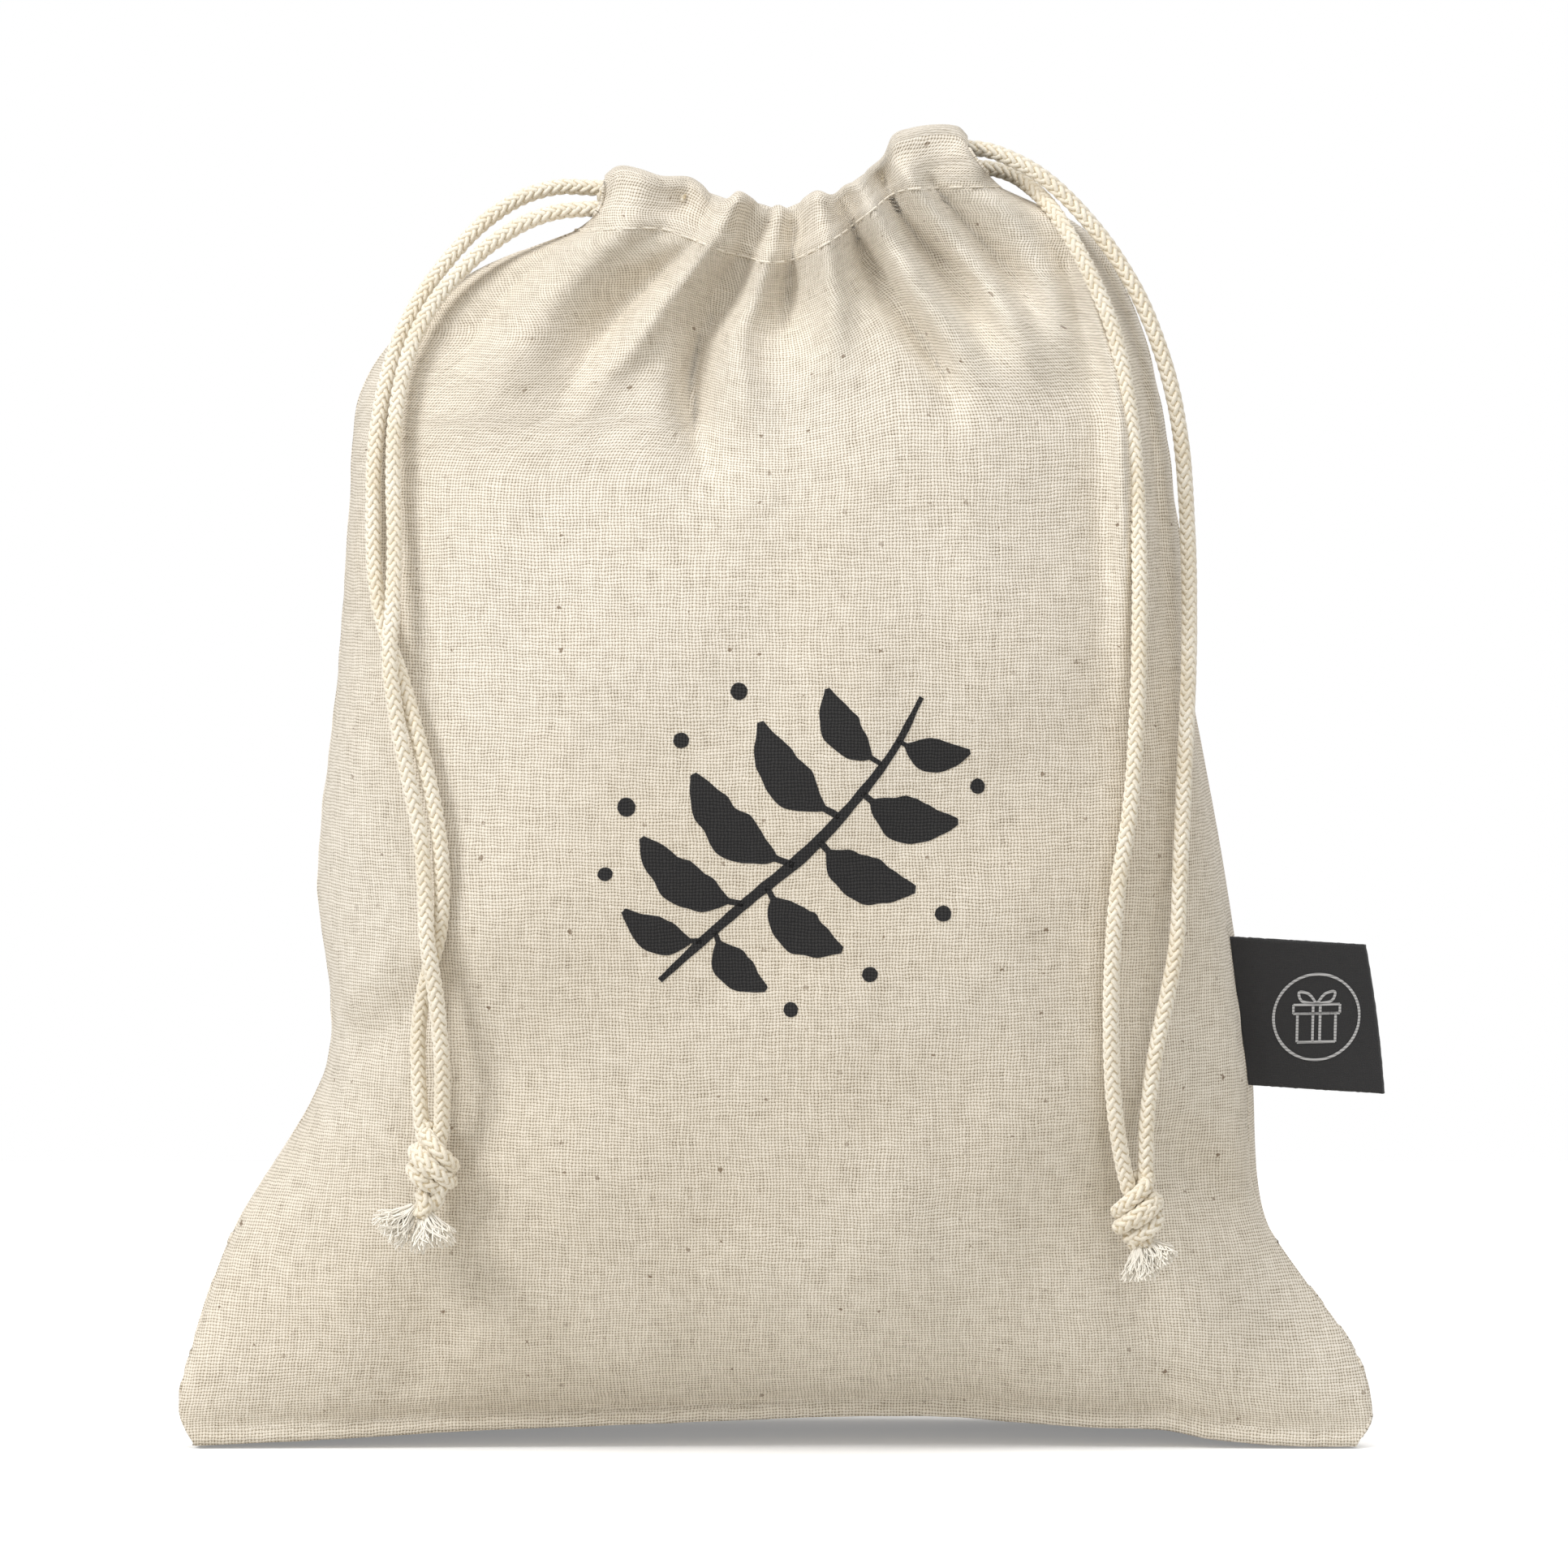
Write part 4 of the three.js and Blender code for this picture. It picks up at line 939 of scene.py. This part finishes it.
def clothSurface(side):
    # positions of the sheet's outer face as a grid of rows and columns
    u = np.linspace(0, 1, clothMake["columns"] + 1)
    u = u + 0.012 * np.sin(2 * math.pi * u)
    u = (u - u[0]) / (u[-1] - u[0])
    folds = frontFolds if side < 0 else backFolds
    rimLine = clothMake["frontRim" if side < 0 else "backRim"]
    rows = sackRows(side)
    grid = np.zeros((len(rows), len(u), 3))
    liftShare = np.zeros((len(rows), len(u)))
    topX, topY, topZ, across = skinPlace(side, u, clothMake["top"])
    wider = clothMake["mouthMiddle"] - clothMake["mouthEnd"]
    mouth = clothMake["mouthEnd"] + wider * (1 - smooth(14, 20, np.abs(topX)))
    rimX = np.where(across < 0, across * 28.5, across * 32.0)
    ends = 1 - 0.12 * np.abs(across) ** 8

    def outerAt(t):
        # the channel leans in towards the rim and swells towards the stitches
        return side * (mouth + clothMake["channelHalf"] + 1.3 + 3.4 * (1 - t) ** 1.6) * ends

    inner = side * (mouth - clothMake["channelHalf"])
    atStitch = topY + (outerAt(0.0) - topY) * smooth(176, 200, clothMake["top"]) * (1 - np.abs(across) ** 10)
    for r, (kind, value) in enumerate(rows):
        if kind == "under":
            rearX, rearY, rearZ, _ = skinPlace(1, u, 0.0)
            _, foreY, foreZ, _ = skinPlace(-1, u, 0.0)
            y = foreY + 1.0 + (np.maximum(rearY, foreY + 1.0) - foreY - 1.0) * value
            toRear = smooth(0, 1, value)
            x, z = rearX, foreZ * (1 - toRear) + rearZ * toRear
            share = np.zeros_like(u)
        elif kind == "skin":
            x, y, z, _ = skinPlace(side, u, value)
            y = y + (outerAt(0.0) - y) * smooth(176, 200, value) * (1 - np.abs(across) ** 10)
            share = np.full_like(u, smooth(0, 10, value))
        else:
            t = {"channel": value, "rim": 1.0, "hem": 1.0 - value}[kind]
            ease = 1 - (1 - t) ** np.where(across < 0, 2.6, 1.35)
            x = topX + (rimX - topX) * ease
            rim = curveThrough(rimLine, rimX) - clothMake["rim"]
            z = topZ + (rim - topZ) * t
            if kind == "channel":
                y = atStitch + (outerAt(t) - atStitch) * smooth(0, 0.5, t)
                share = np.ones_like(u)
            elif kind == "rim":
                s = smooth(0, 1, value) * 0.4 + value * 0.6
                y = outerAt(1.0) + (inner - outerAt(1.0)) * s
                z = rim + clothMake["rim"] * np.sin(math.pi * value) ** 0.7
                share = np.full_like(u, 1 - value)
            else:
                y = inner * np.ones_like(u)
                share = np.zeros_like(u)
        grid[r, :, 0], grid[r, :, 1], grid[r, :, 2] = x, y, z
        liftShare[r] = share
    x, y, z = grid[:, :, 0], grid[:, :, 1], grid[:, :, 2]
    lift = foldLift(folds, x, z) * liftShare
    edgeFade = smooth(0.0, 0.06, np.minimum(u, 1 - u))[None, :]
    body = liftShare * edgeFade
    # slow swells and small creases of the cloth between the folds
    lift += body * noiseLift(x, y, z, 31.0, 3.0 + side) * 2.0
    lift += body * noiseLift(x, y * 0.5, z * 0.6, 13.0, 9.0 + side) * 0.75
    lift += body * noiseLift(x, y * 0.5, z, 5.5, 21.0 + side) * 0.16
    # puckers of the side seams
    pucker = (np.exp(-(np.minimum(u, 1 - u) / 0.035) ** 2) * smooth(0.0, 0.012, np.minimum(u, 1 - u)))[None,
        :]
    lift += 0.55 * pucker * noiseLift(x * 0.1, y * 0, z, 4.0, 40.0 + side) * liftShare
    kinds = np.array([kind for kind, _ in rows])
    # a cord lies inside the channel, so the cloth can't sink past it there
    channelRows = (kinds == "channel")[:, None] | (kinds == "rim")[:, None]
    upChannel = np.array([value if kind == "channel" else 1.0 for kind, value in rows])[:, None]
    deepest = -2.4 - 3.0 * (1 - upChannel) ** 1.6
    soft = deepest + np.log1p(np.exp((lift - deepest) * 2.2)) / 2.2
    close = smooth(172, 196, z)
    skinSoft = -5.2 + np.log1p(np.exp((lift + 5.2) * 2.0)) / 2.0
    lift = np.where(channelRows, soft, lift * (1 - close) + skinSoft * close)
    grid[:, :, 1] += side * lift
    grid[:, :, 2] = np.maximum(grid[:, :, 2], 0.25)
    return grid, kinds


def gridFaces(rows, columns, offset, flip):
    faces = []
    for r in range(rows - 1):
        for c in range(columns - 1):
            a = offset + r * columns + c
            quad = (a, a + 1, a + columns + 1, a + columns)
            faces.append(quad[::-1] if flip else quad)
    return faces


def borderFaces(rows, columns, flip):
    # the strip that joins a grid of points to its copy, all the way round the edge
    count = rows * columns
    around = ([(0, c) for c in range(columns)] + [(r, columns - 1) for r in range(1, rows)]
        + [(rows - 1, c) for c in range(columns - 2, -1, -1)] + [(r, 0) for r in range(rows - 2, 0, -1)])
    faces = []
    for (r0, c0), (r1, c1) in zip(around, around[1:] + around[:1]):
        a, b = r0 * columns + c0, r1 * columns + c1
        quad = (a, a + count, b + count, b)
        faces.append(quad[::-1] if flip else quad)
    return faces


def clothObject(name, side):
    grid, kinds = clothSurface(side)
    rows, columns = grid.shape[:2]
    alongU, alongV = np.gradient(grid, axis=1), np.gradient(grid, axis=0)
    normal = np.cross(alongU, alongV)
    normal /= np.linalg.norm(normal, axis=2)[:, :, None] + 1e-12
    normal *= -side
    innerGrid = grid - normal * clothMake["thick"]
    innerGrid[:, :, 2] = np.maximum(innerGrid[:, :, 2], 0.25)
    verts = np.vstack([grid.reshape(-1, 3), innerGrid.reshape(-1, 3)]) * unit
    flip = side > 0
    count = rows * columns
    faces = gridFaces(rows, columns, 0, flip) + gridFaces(rows, columns, count, not flip)
    faces += borderFaces(rows, columns, flip)
    obj = meshObject(name, verts, faces, clothMaterial)
    # flat pattern of the cloth: lengths along its rows and columns, in metres
    stepU = np.linalg.norm(np.diff(grid, axis=1), axis=2)
    flatU = np.concatenate([np.zeros((rows, 1)), np.cumsum(stepU, axis=1)], axis=1)
    flatU -= flatU[:, columns // 2][:, None]
    stepV = np.linalg.norm(np.diff(grid, axis=0), axis=2).mean(axis=1)
    flatV = np.concatenate([[0], np.cumsum(stepV)])[:, None] * np.ones((1, columns))
    flat = np.tile(np.column_stack([flatU.ravel(), flatV.ravel()]), (2, 1)) * unit + 0.5
    writeUv(obj, flat)
    return obj, grid, kinds


# the lips open fully in the middle of the mouth and not at all near its ends or low on the sack
lips = {"fullTo": 8.0, "noneFrom": 20.5, "noneBelow": 152.0, "fullAbove": 197.0}


def lipShare(points):
    # how far a point in metres goes with the lips of the mouth as they open
    x, z = np.abs(points[:, 0]) / unit, points[:, 2] / unit
    return (1 - smooth(lips["fullTo"], lips["noneFrom"], x)) * smooth(lips["noneBelow"], lips["fullAbove"], z)


frontCloth, frontGrid, frontKinds = clothObject("frontCloth", -1)
setBlend(frontCloth, lipShare(vertsOf(frontCloth)))
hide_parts("front_panel", "front_channel_left", "front_channel_middle", "front_channel_right")
backCloth, backGrid, backKinds = clothObject("backCloth", 1)
setBlend(backCloth, lipShare(vertsOf(backCloth)))
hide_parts("back_panel", "back_channel_left", "back_channel_middle", "back_channel_right")
print("cloth made", len(frontCloth.data.polygons), len(backCloth.data.polygons))


# ---------------------------------------------------------------- turned-in seams
seamMake = {"half": 0.62, "proud": 0.25, "depth": 7.0, "from": 1.5, "to": 195.0, "steps": 190,
    "bendFlare": 1.5, "topFlare": 1.2}


def seamObject(name, node, edge, inward, flare):
    # a doubled strip along an edge; behind the edge it spreads by flare, where the cloth stands off it
    profile = [(-1, 0.35), (-0.55, 0.0), (0.55, 0.0), (1, 0.35), (1, 1.3), (1, 0), (-1, 0), (-1, 1.3)]
    count = len(profile)
    verts, faces = [], []
    for place, way, spread in zip(edge, inward, flare):
        for k, (y, depth) in enumerate(profile):
            back = seamMake["depth"] if k in (5, 6) else depth - seamMake["proud"]
            beside = y * (seamMake["half"] + (spread if k in (4, 7) else 0))
            verts.append((place + way * back + np.array([0, beside, 0])) * unit)
    for r in range(len(edge) - 1):
        for c in range(count):
            a, b = r * count + c, r * count + (c + 1) % count
            faces.append((a, b, b + count, a + count))
    faces.append(tuple(range(count))[::-1])
    faces.append(tuple((len(edge) - 1) * count + c for c in range(count)))
    obj = meshObject(name, verts, faces, clothMaterial)
    run = np.concatenate([[0], np.cumsum(np.linalg.norm(np.diff(edge, axis=0), axis=1))]) * unit
    around = np.array([0, 0.4, 1.4, 1.8, 2.8, 8.0, -6.0, -1.0]) * mm
    writeUv(obj, np.column_stack([np.tile(around, len(run)), np.repeat(run, count)]) + 0.9)
    flipIfInside(obj)
    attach(obj, "sack")
    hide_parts(node)
    return obj


def flipIfInside(obj):
    # turns every face round when the closed mesh has a negative volume
    bm = bmesh.new()
    bm.from_mesh(obj.data)
    bmesh.ops.recalc_face_normals(bm, faces=bm.faces)
    if bm.calc_volume(signed=True) < 0:
        bmesh.ops.reverse_faces(bm, faces=bm.faces)
    bm.to_mesh(obj.data)
    bm.free()


levels = np.linspace(seamMake["from"], seamMake["to"], seamMake["steps"])
for side, column, name in (("left", 0, "leftSeam"), ("right", 1, "rightSeam")):
    x, y, z, _ = skinPlace(-1, np.full_like(levels, float(column)), levels)
    edge = np.column_stack([x, y + clothMake["seamHalf"], z])
    edge[:, 0] += np.array([noise.noise(Vector((0.0, column * 7.0, h / 5.0))) * 0.22 for h in levels])
    inward = np.tile([1.0 if column == 0 else -1.0, 0, 0], (len(levels), 1))
    atBend = smooth(39, 43, levels) * (1 - smooth(58, 64, levels))
    flare = seamMake["bendFlare"] * atBend + seamMake["topFlare"] * smooth(176, 184, levels)
    seamObject(name, side + "_seam", edge, inward, flare)
across = np.linspace(0.03, 0.97, 160)
x, y, z, _ = skinPlace(-1, across, np.zeros_like(across))
edge = np.column_stack([x, y + 0.9, np.maximum(z + 0.15, 0.6)])
lift = np.array([noise.noise(Vector((px / 7.0, 3.0, 0.0))) * 0.12 for px in x])
edge[:, 2] += lift
seamMake["depth"] = 4.5
seamObject("bottomSeam", "bottom_seam", edge, np.tile([0, 0.1, 1.0], (len(x), 1)), np.zeros(len(x)))
print("seams made")


# ---------------------------------------------------------------- stitches under the cord channels
stitchMake = {"length": 2.3 * mm, "pitch": 3.3 * mm, "thick": 0.17 * mm}


def makeThreadMaterial():
    mat, tree, shader = newMaterial("sewingThread", 0.7, sheen=0.2, specular=0.35)
    place = addNode(tree, "ShaderNodeTexCoord").outputs["Object"]
    fibre = noiseOf(tree, place, 6000.0, 2.0)
    colour = mixColour(tree, ramp(tree, fibre, 0.35, 0.65), fromSrgb(214, 203, 182), fromSrgb(246, 240, 228))
    tree.links.new(colour, shader.inputs["Base Color"])
    linkBump(tree, shader, fibre, 0.00005, 0.5)
    return mat


threadMaterial = makeThreadMaterial()


def makeStitchTree():
    tree, given, out = newTree("runningStitch", [
        ("Pitch", "NodeSocketFloat"), ("Length", "NodeSocketFloat"), ("Thick", "NodeSocketFloat"),
        ("Finish", "NodeSocketMaterial")])
    g = given.outputs
    even = addNode(tree, "GeometryNodeResampleCurve", {"Curve": g["Geometry"], "Length": g["Pitch"]},
        mode="LENGTH")
    tangent = addNode(tree, "GeometryNodeInputTangent").outputs[0]
    half = times(tree, g["Length"], 0.5)
    start = addNode(tree, "ShaderNodeCombineXYZ", {2: times(tree, half, -1.0)}).outputs[0]
    end = addNode(tree, "ShaderNodeCombineXYZ", {2: half}).outputs[0]
    line = addNode(tree, "GeometryNodeCurvePrimitiveLine", {"Start": start, "End": end})
    steps = addNode(tree, "GeometryNodeResampleCurve", {"Curve": line.outputs[0], "Count": 9}, mode="COUNT")
    # each stitch dives into the cloth at both ends
    factor = addNode(tree, "GeometryNodeSplineParameter").outputs["Factor"]
    away = times(tree, minus(tree, factor, 0.5), 2.0)
    fourth = math_(tree, "POWER", math_(tree, "ABSOLUTE", away), 4.0)
    thin = minus(tree, 1.0, times(tree, fourth, 0.75))
    sized = addNode(tree, "GeometryNodeSetCurveRadius", {"Curve": steps.outputs[0], "Radius": thin})
    one = tubeAlong(tree, sized.outputs[0], 8, g["Thick"])
    turn = addNode(tree, "FunctionNodeAlignRotationToVector", {"Vector": tangent}, axis="Z")
    placed = addNode(tree, "GeometryNodeInstanceOnPoints", {"Points": even.outputs[0], "Instance": one,
        "Rotation": turn.outputs[0]})
    finishTree(tree, placed.outputs[0], g["Finish"], out)
    return tree


stitchTree = makeStitchTree()


def makeStitches(side, where, low, high):
    grid, kinds = (frontGrid, frontKinds) if side < 0 else (backGrid, backKinds)
    row = int(np.argmax(kinds == "channel")) + 1
    line = grid[row]
    line = line[(line[:, 0] >= low) & (line[:, 0] <= high)].copy()
    line[:, 1] += side * 0.06
    face = "front" if side < 0 else "back"
    obj = runTree(curveObject("stitches", line * unit), stitchTree, {
        "Pitch": stitchMake["pitch"], "Length": stitchMake["length"], "Thick": stitchMake["thick"],
        "Finish": threadMaterial}, face + "Stitches" + where.capitalize())
    setBlend(obj, lipShare(vertsOf(obj)))
    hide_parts("%s_stitching_%s" % (face, where))


for side in (-1, 1):
    for where, low, high in (("left", -33.5, -14.4), ("middle", -14.0, 14.0), ("right", 14.4, 37.0)):
        makeStitches(side, where, low, high)
print("stitches made")


# ---------------------------------------------------------------- cords inside the channels
liningTop = [[-31, 213.0], [-20, 213.0], [-14, 211.2], [-10, 208.8], [-6, 208.2], [-2, 206.8], [3, 206.6],
    [7, 208.4],
    [12, 210.2], [15, 212.2], [18, 215.4], [20, 218.4], [26, 219.8], [33, 220.0]]
# along X: the ends of the middle runs, of the runs beside them and of the long runs at the far side
runEnds = {"middle": 13.1, "beside": 14.9, "near": 20.1, "far": 28.7}
hiddenRuns = []
for cordName, sign in (("left", -1), ("right", 1)):
    for face, side in (("front", -1), ("back", 1)):
        slot = -side * sign * 1.7
        beside = sign * runEnds["beside"]
        for part, low, high, body in (
                ("near", beside, sign * runEnds["near"], "sack"),
                ("middle", -runEnds["middle"], runEnds["middle"], face + "_lip"),
                ("far", -beside, -sign * runEnds["far"], "sack")):
            hiddenRuns.append((cordName, face, part, side, slot, low, high, body))
for cordName, face, part, side, slot, low, high, body in hiddenRuns:
    x = np.linspace(low, high, 8)
    y = side * (3.8 + 2.2 * (1 - smooth(14, 20, np.abs(x))))
    z = curveThrough(liningTop, x) - 5 + slot
    path, _ = densePath(np.column_stack([x, y, z]) * unit, 1.5 * mm)
    obj = braidAlong(cordName + "Run" + face.capitalize() + part.capitalize(), path)
    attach(obj, body)
    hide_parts("%s_cord_%s_%s" % (cordName, face, part))
print("hidden runs made")


# ---------------------------------------------------------------- printed sprig on the front
printMake = {"middle": (2.0, 102.6), "offset": 0.10, "step": 0.28}


def makeInkMaterial():
    mat, tree, shader = newMaterial("blackInk", 0.82, sheen=0.1, specular=0.2)
    woven = placeWeave(tree, weave["pitch"])
    # painted shade and highlight: the ink is darker in the weave's hollows and lighter on its raised threads
    colour = mixColour(tree, ramp(tree, woven.outputs["Height"], 0.8, 1.8), fromSrgb(24, 24, 25),
        fromSrgb(54, 53, 53))
    tree.links.new(colour, shader.inputs["Base Color"])
    linkBump(tree, shader, woven.outputs["Height"], 0.00011, 0.9)
    return mat


inkMaterial = makeInkMaterial()

# brush strokes as (points in x and z from the middle of the print, widest half width, taper)
# a stem that leans over, a leaf on each side of it in turn, and small round buds
stem = [[-21, -22], [-14, -15.5], [-6, -8.5], [3, -1.0], [11, 7.5], [17.5, 16.0], [22, 24.5]]
leafPairs = [
    ([-14, -15.5], [-27, -10.5], 2.6), ([-12, -14], [-3.5, -23.5], 2.7), ([-7, -9.5], [-24, 1.5], 3.2),
    ([-3.5, -6.5], [9.0, -17.0], 3.2), ([1.0, -3.0], [-15.5, 12.0], 3.4), ([5.0, 1.2], [21.0, -7.0], 3.4),
    ([8.5, 5.0], [-4.5, 20.5], 3.2), ([12.0, 9.0], [28.0, 4.0], 3.1), ([15.5, 13.5], [6.5, 26.0], 2.6),
    ([18.0, 17.5], [30.0, 15.5], 2.4),
]
buds = [[-30.0, -4.5, 1.25], [-26.5, 6.5, 1.5], [-17.5, 17.5, 1.3], [-8.0, 25.5, 1.4], [25.5, -11.0, 1.35],
    [13.5, -21.0, 1.3], [0.5, -26.8, 1.2], [31.2, 9.8, 1.2]]
frontTree = BVHTree.FromObject(frontCloth, bpy.context.evaluated_depsgraph_get())


def strokeStrip(points, half, shape):
    # a brushed stroke as rows of points across it; shape gives the half width along it
    line, _ = densePath([[px, 0, pz] for px, pz in points], printMake["step"])
    line = line[:, [0, 2]]
    tangent = np.gradient(line, axis=0)
    tangent /= np.linalg.norm(tangent, axis=1)[:, None]
    beside = np.column_stack([-tangent[:, 1], tangent[:, 0]])
    share = np.linspace(0, 1, len(line))
    width = half * shape(share)
    wobble = np.array([noise.noise(Vector((px * 0.33, pz * 0.33, 5.0))) for px, pz in line])
    width = np.maximum(width * (1 + 0.22 * wobble), 0.05)
    return [[tuple(p + b * w * k) for k in np.linspace(-1, 1, 9)] for p, b, w in zip(line, beside, width)]


def layOn(name, strips, middle, target, material, body):
    # strips of points in x and z, projected from the front onto the target's near face
    verts, faces = [], []
    for strip in strips:
        start, across_ = len(verts), len(strip[0])
        for row in strip:
            for px, pz in row:
                x, z = (middle[0] + px) * unit, (middle[1] + pz) * unit
                hit = target.ray_cast(Vector((x, -0.2, z)), Vector((0, 1, 0)))
                near = hit[1] if hit[1].y < 0 else -hit[1]
                verts.append(tuple(hit[0] + near * printMake["offset"] * mm))
        for r in range(len(strip) - 1):
            for c in range(across_ - 1):
                a = start + r * across_ + c
                faces.append((a, a + 1, a + across_ + 1, a + across_))
    obj = meshObject(name, verts, faces, material)
    bm = bmesh.new()
    bm.from_mesh(obj.data)
    bmesh.ops.reverse_faces(bm, faces=[f for f in bm.faces if f.normal.y > 0])
    bm.to_mesh(obj.data)
    bm.free()
    writeUv(obj, np.array(verts)[:, [0, 2]])
    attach(obj, body)
    return obj


def makePrint():
    strips = [strokeStrip(stem, 0.95, lambda s: 0.35 + 0.65 * np.sin(math.pi * np.clip(s * 0.9 + 0.08, 0,
        1)))]
    for root, tip, half in leafPairs:
        root, tip = np.array(root, float), np.array(tip, float)
        way = tip - root
        bow = np.array([-way[1], way[0]]) * (0.13 if way[0] < 0 else -0.13)
        middle = [list(root + way * t + bow * math.sin(math.pi * t)) for t in (0.0, 0.25, 0.5, 0.75, 1.0)]
        strips.append(strokeStrip(middle, half, lambda s: np.clip(
            0.16 + np.sin(math.pi * np.clip((s - 0.14) / 0.86, 0, 1) ** 0.85) * (s > 0.14), 0.02, 1.2)))
    for bx, bz, size in buds:
        strips.append(strokeStrip([[bx - size, bz - 0.2], [bx, bz], [bx + size, bz + 0.3]], size,
            lambda s: np.sqrt(np.clip(1 - (2 * s - 1) ** 2, 0.0, 1))))
    obj = layOn("printedSprig", strips, printMake["middle"], frontTree, inkMaterial, "sack")


makePrint()
print("print made")


# ---------------------------------------------------------------- folded label in the right seam
labelMake = {"droop": 0.19, "foot": (80.9, 59.6), "head": (77.7, 84.6), "out": 21.6, "tuck": 1.6,
    "open": 0.34, "bow": 0.28,
    "thick": 0.34, "y": -1.4, "ring": 7.2, "ringLine": 0.22, "emblem": (90.7, 71.2), "slant": 0.02}


def makeLabelMaterial():
    mat, tree, shader = newMaterial("blackRibbon", 0.62, sheen=0.35, specular=0.3)
    woven = placeWeave(tree, weave["ribbonPitch"])
    # painted shade and highlight: the ribbon is darker in the weave's hollows and lighter on its raised
    # threads
    colour = mixColour(tree, ramp(tree, woven.outputs["Height"], 0.7, 1.8), fromSrgb(14, 14, 16),
        fromSrgb(40, 40, 43))
    tree.links.new(colour, shader.inputs["Base Color"])
    linkBump(tree, shader, woven.outputs["Height"], 0.00006, 0.8)
    return mat


def makeEmblemMaterial():
    mat, tree, shader = newMaterial("greyWovenThread", 0.6, sheen=0.3, specular=0.35)
    place = addNode(tree, "ShaderNodeTexCoord").outputs["Object"]
    rib = addNode(tree, "ShaderNodeTexWave", {"Vector": place, "Scale": 620.0, "Distortion": 1.0},
        bands_direction="Z")
    colour = mixColour(tree, rib.outputs["Fac"], fromSrgb(150, 150, 151), fromSrgb(208, 208, 209))
    tree.links.new(colour, shader.inputs["Base Color"])
    linkBump(tree, shader, rib.outputs["Fac"], 0.00005, 0.7)
    return mat


def makeLabel():
    foot, head = np.array(labelMake["foot"]), np.array(labelMake["head"])
    up = (head - foot) / np.linalg.norm(head - foot)
    out = np.array([up[1], -up[0] - labelMake["droop"]])
    tall = float(np.linalg.norm(head - foot))
    tip = labelMake["out"] - labelMake["open"] - labelMake["thick"]
    s = np.linspace(-labelMake["tuck"], tip, 46)
    gape = labelMake["open"] * smooth(-labelMake["tuck"], 2.5, s) + 0.1
    gape = gape + labelMake["bow"] * np.sin(math.pi * np.clip(s / tip, 0, 1)) ** 1.5
    angle = np.linspace(-math.pi / 2, math.pi / 2, 12)[1:-1]
    nose = labelMake["open"] + 0.1
    reach = np.concatenate([s, tip + nose * np.cos(angle), s[::-1]])
    side = np.concatenate([-gape, nose * np.sin(angle), gape[::-1]])
    rows = 44
    heights = np.linspace(0, 1, rows)
    grid = np.zeros((rows, len(reach), 3))
    for r, h in enumerate(heights):
        swell = 0.35 * math.sin(math.pi * h) + 0.08 * noise.noise(Vector((h * 21.0, 2.0, 0.0)))
        stretch = 1 + swell / tip * np.clip(reach / tip, 0, 1)
        ragged = np.array([noise.noise(Vector((q * 2.4, 7.0 + round(h), 0.0))) for q in reach])
        ragged = 0.10 * ragged * abs(2 * h - 1) ** 8
        flat = foot[None, :] + np.outer(reach * stretch, out) + up[None, :] * (h * tall + ragged)[:, None]
        lean = 0.55 * np.clip(reach / tip, 0, 1) ** 2 * math.sin(1.6 * (h - 0.3))
        grid[r] = np.column_stack([flat[:, 0], labelMake["y"] + side + lean, flat[:, 1]])
    normal = np.cross(np.gradient(grid, axis=1), np.gradient(grid, axis=0))
    normal /= np.linalg.norm(normal, axis=2)[:, :, None]
    columns = grid.shape[1]
    verts = np.vstack([(grid + normal * labelMake["thick"] / 2).reshape(-1, 3),
        (grid - normal * labelMake["thick"] / 2).reshape(-1, 3)]) * unit
    count = rows * columns
    faces = gridFaces(rows, columns, 0, False) + gridFaces(rows, columns, count, True)
    faces += borderFaces(rows, columns, False)
    obj = meshObject("sideLabel", verts, faces, makeLabelMaterial())
    flipIfInside(obj)
    run = np.concatenate([[0], np.cumsum(np.hypot(np.diff(reach), np.diff(side)))])
    flat = np.array([[run[c], h * tall] for h in heights for c in range(columns)]) * unit
    writeUv(obj, np.tile(flat, (2, 1)))
    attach(obj, "label")
    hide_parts("side_label")
    ring = [[labelMake["ring"] * math.cos(a), labelMake["ring"] * math.sin(a)] for a in np.linspace(0,
        2 * math.pi, 33)]
    lines = [ring,
        [[-3.2, -4.2], [3.2, -4.2]], [[3.2, -4.2], [3.2, 0.6]], [[3.2, 0.6], [-3.2, 0.6]],
        [[-3.2, 0.6], [-3.2, -4.2]],
        [[-3.9, 0.6], [3.9, 0.6]], [[-3.9, 2.1], [3.9, 2.1]], [[-3.9, 0.6], [-3.9, 2.1]],
        [[3.9, 0.6], [3.9, 2.1]],
        [[-0.6, -4.2], [-0.6, 2.1]], [[0.6, -4.2], [0.6, 2.1]],
        [[0, 2.2], [1.4, 3.9], [3.0, 4.2], [2.6, 2.8], [0, 2.2]],
        [[0, 2.2], [-1.4, 3.9], [-3.0, 4.2], [-2.6, 2.8], [0, 2.2]]]
    # the emblem is skewed a little, as the ribbon hangs
    upright, slant = math.cos(labelMake["slant"]), math.sin(labelMake["slant"])
    skewed = [[[px * upright + pz * slant, px * slant + pz * upright] for px, pz in line] for line in lines]
    strips = [strokeStrip(line, labelMake["ringLine"], lambda s: np.ones_like(s)) for line in skewed]
    tree = BVHTree.FromObject(obj, bpy.context.evaluated_depsgraph_get())
    emblem = layOn("labelEmblem", strips, labelMake["emblem"], tree, makeEmblemMaterial(), "label")


makeLabel()
print("label made")


print("whole sack ready")
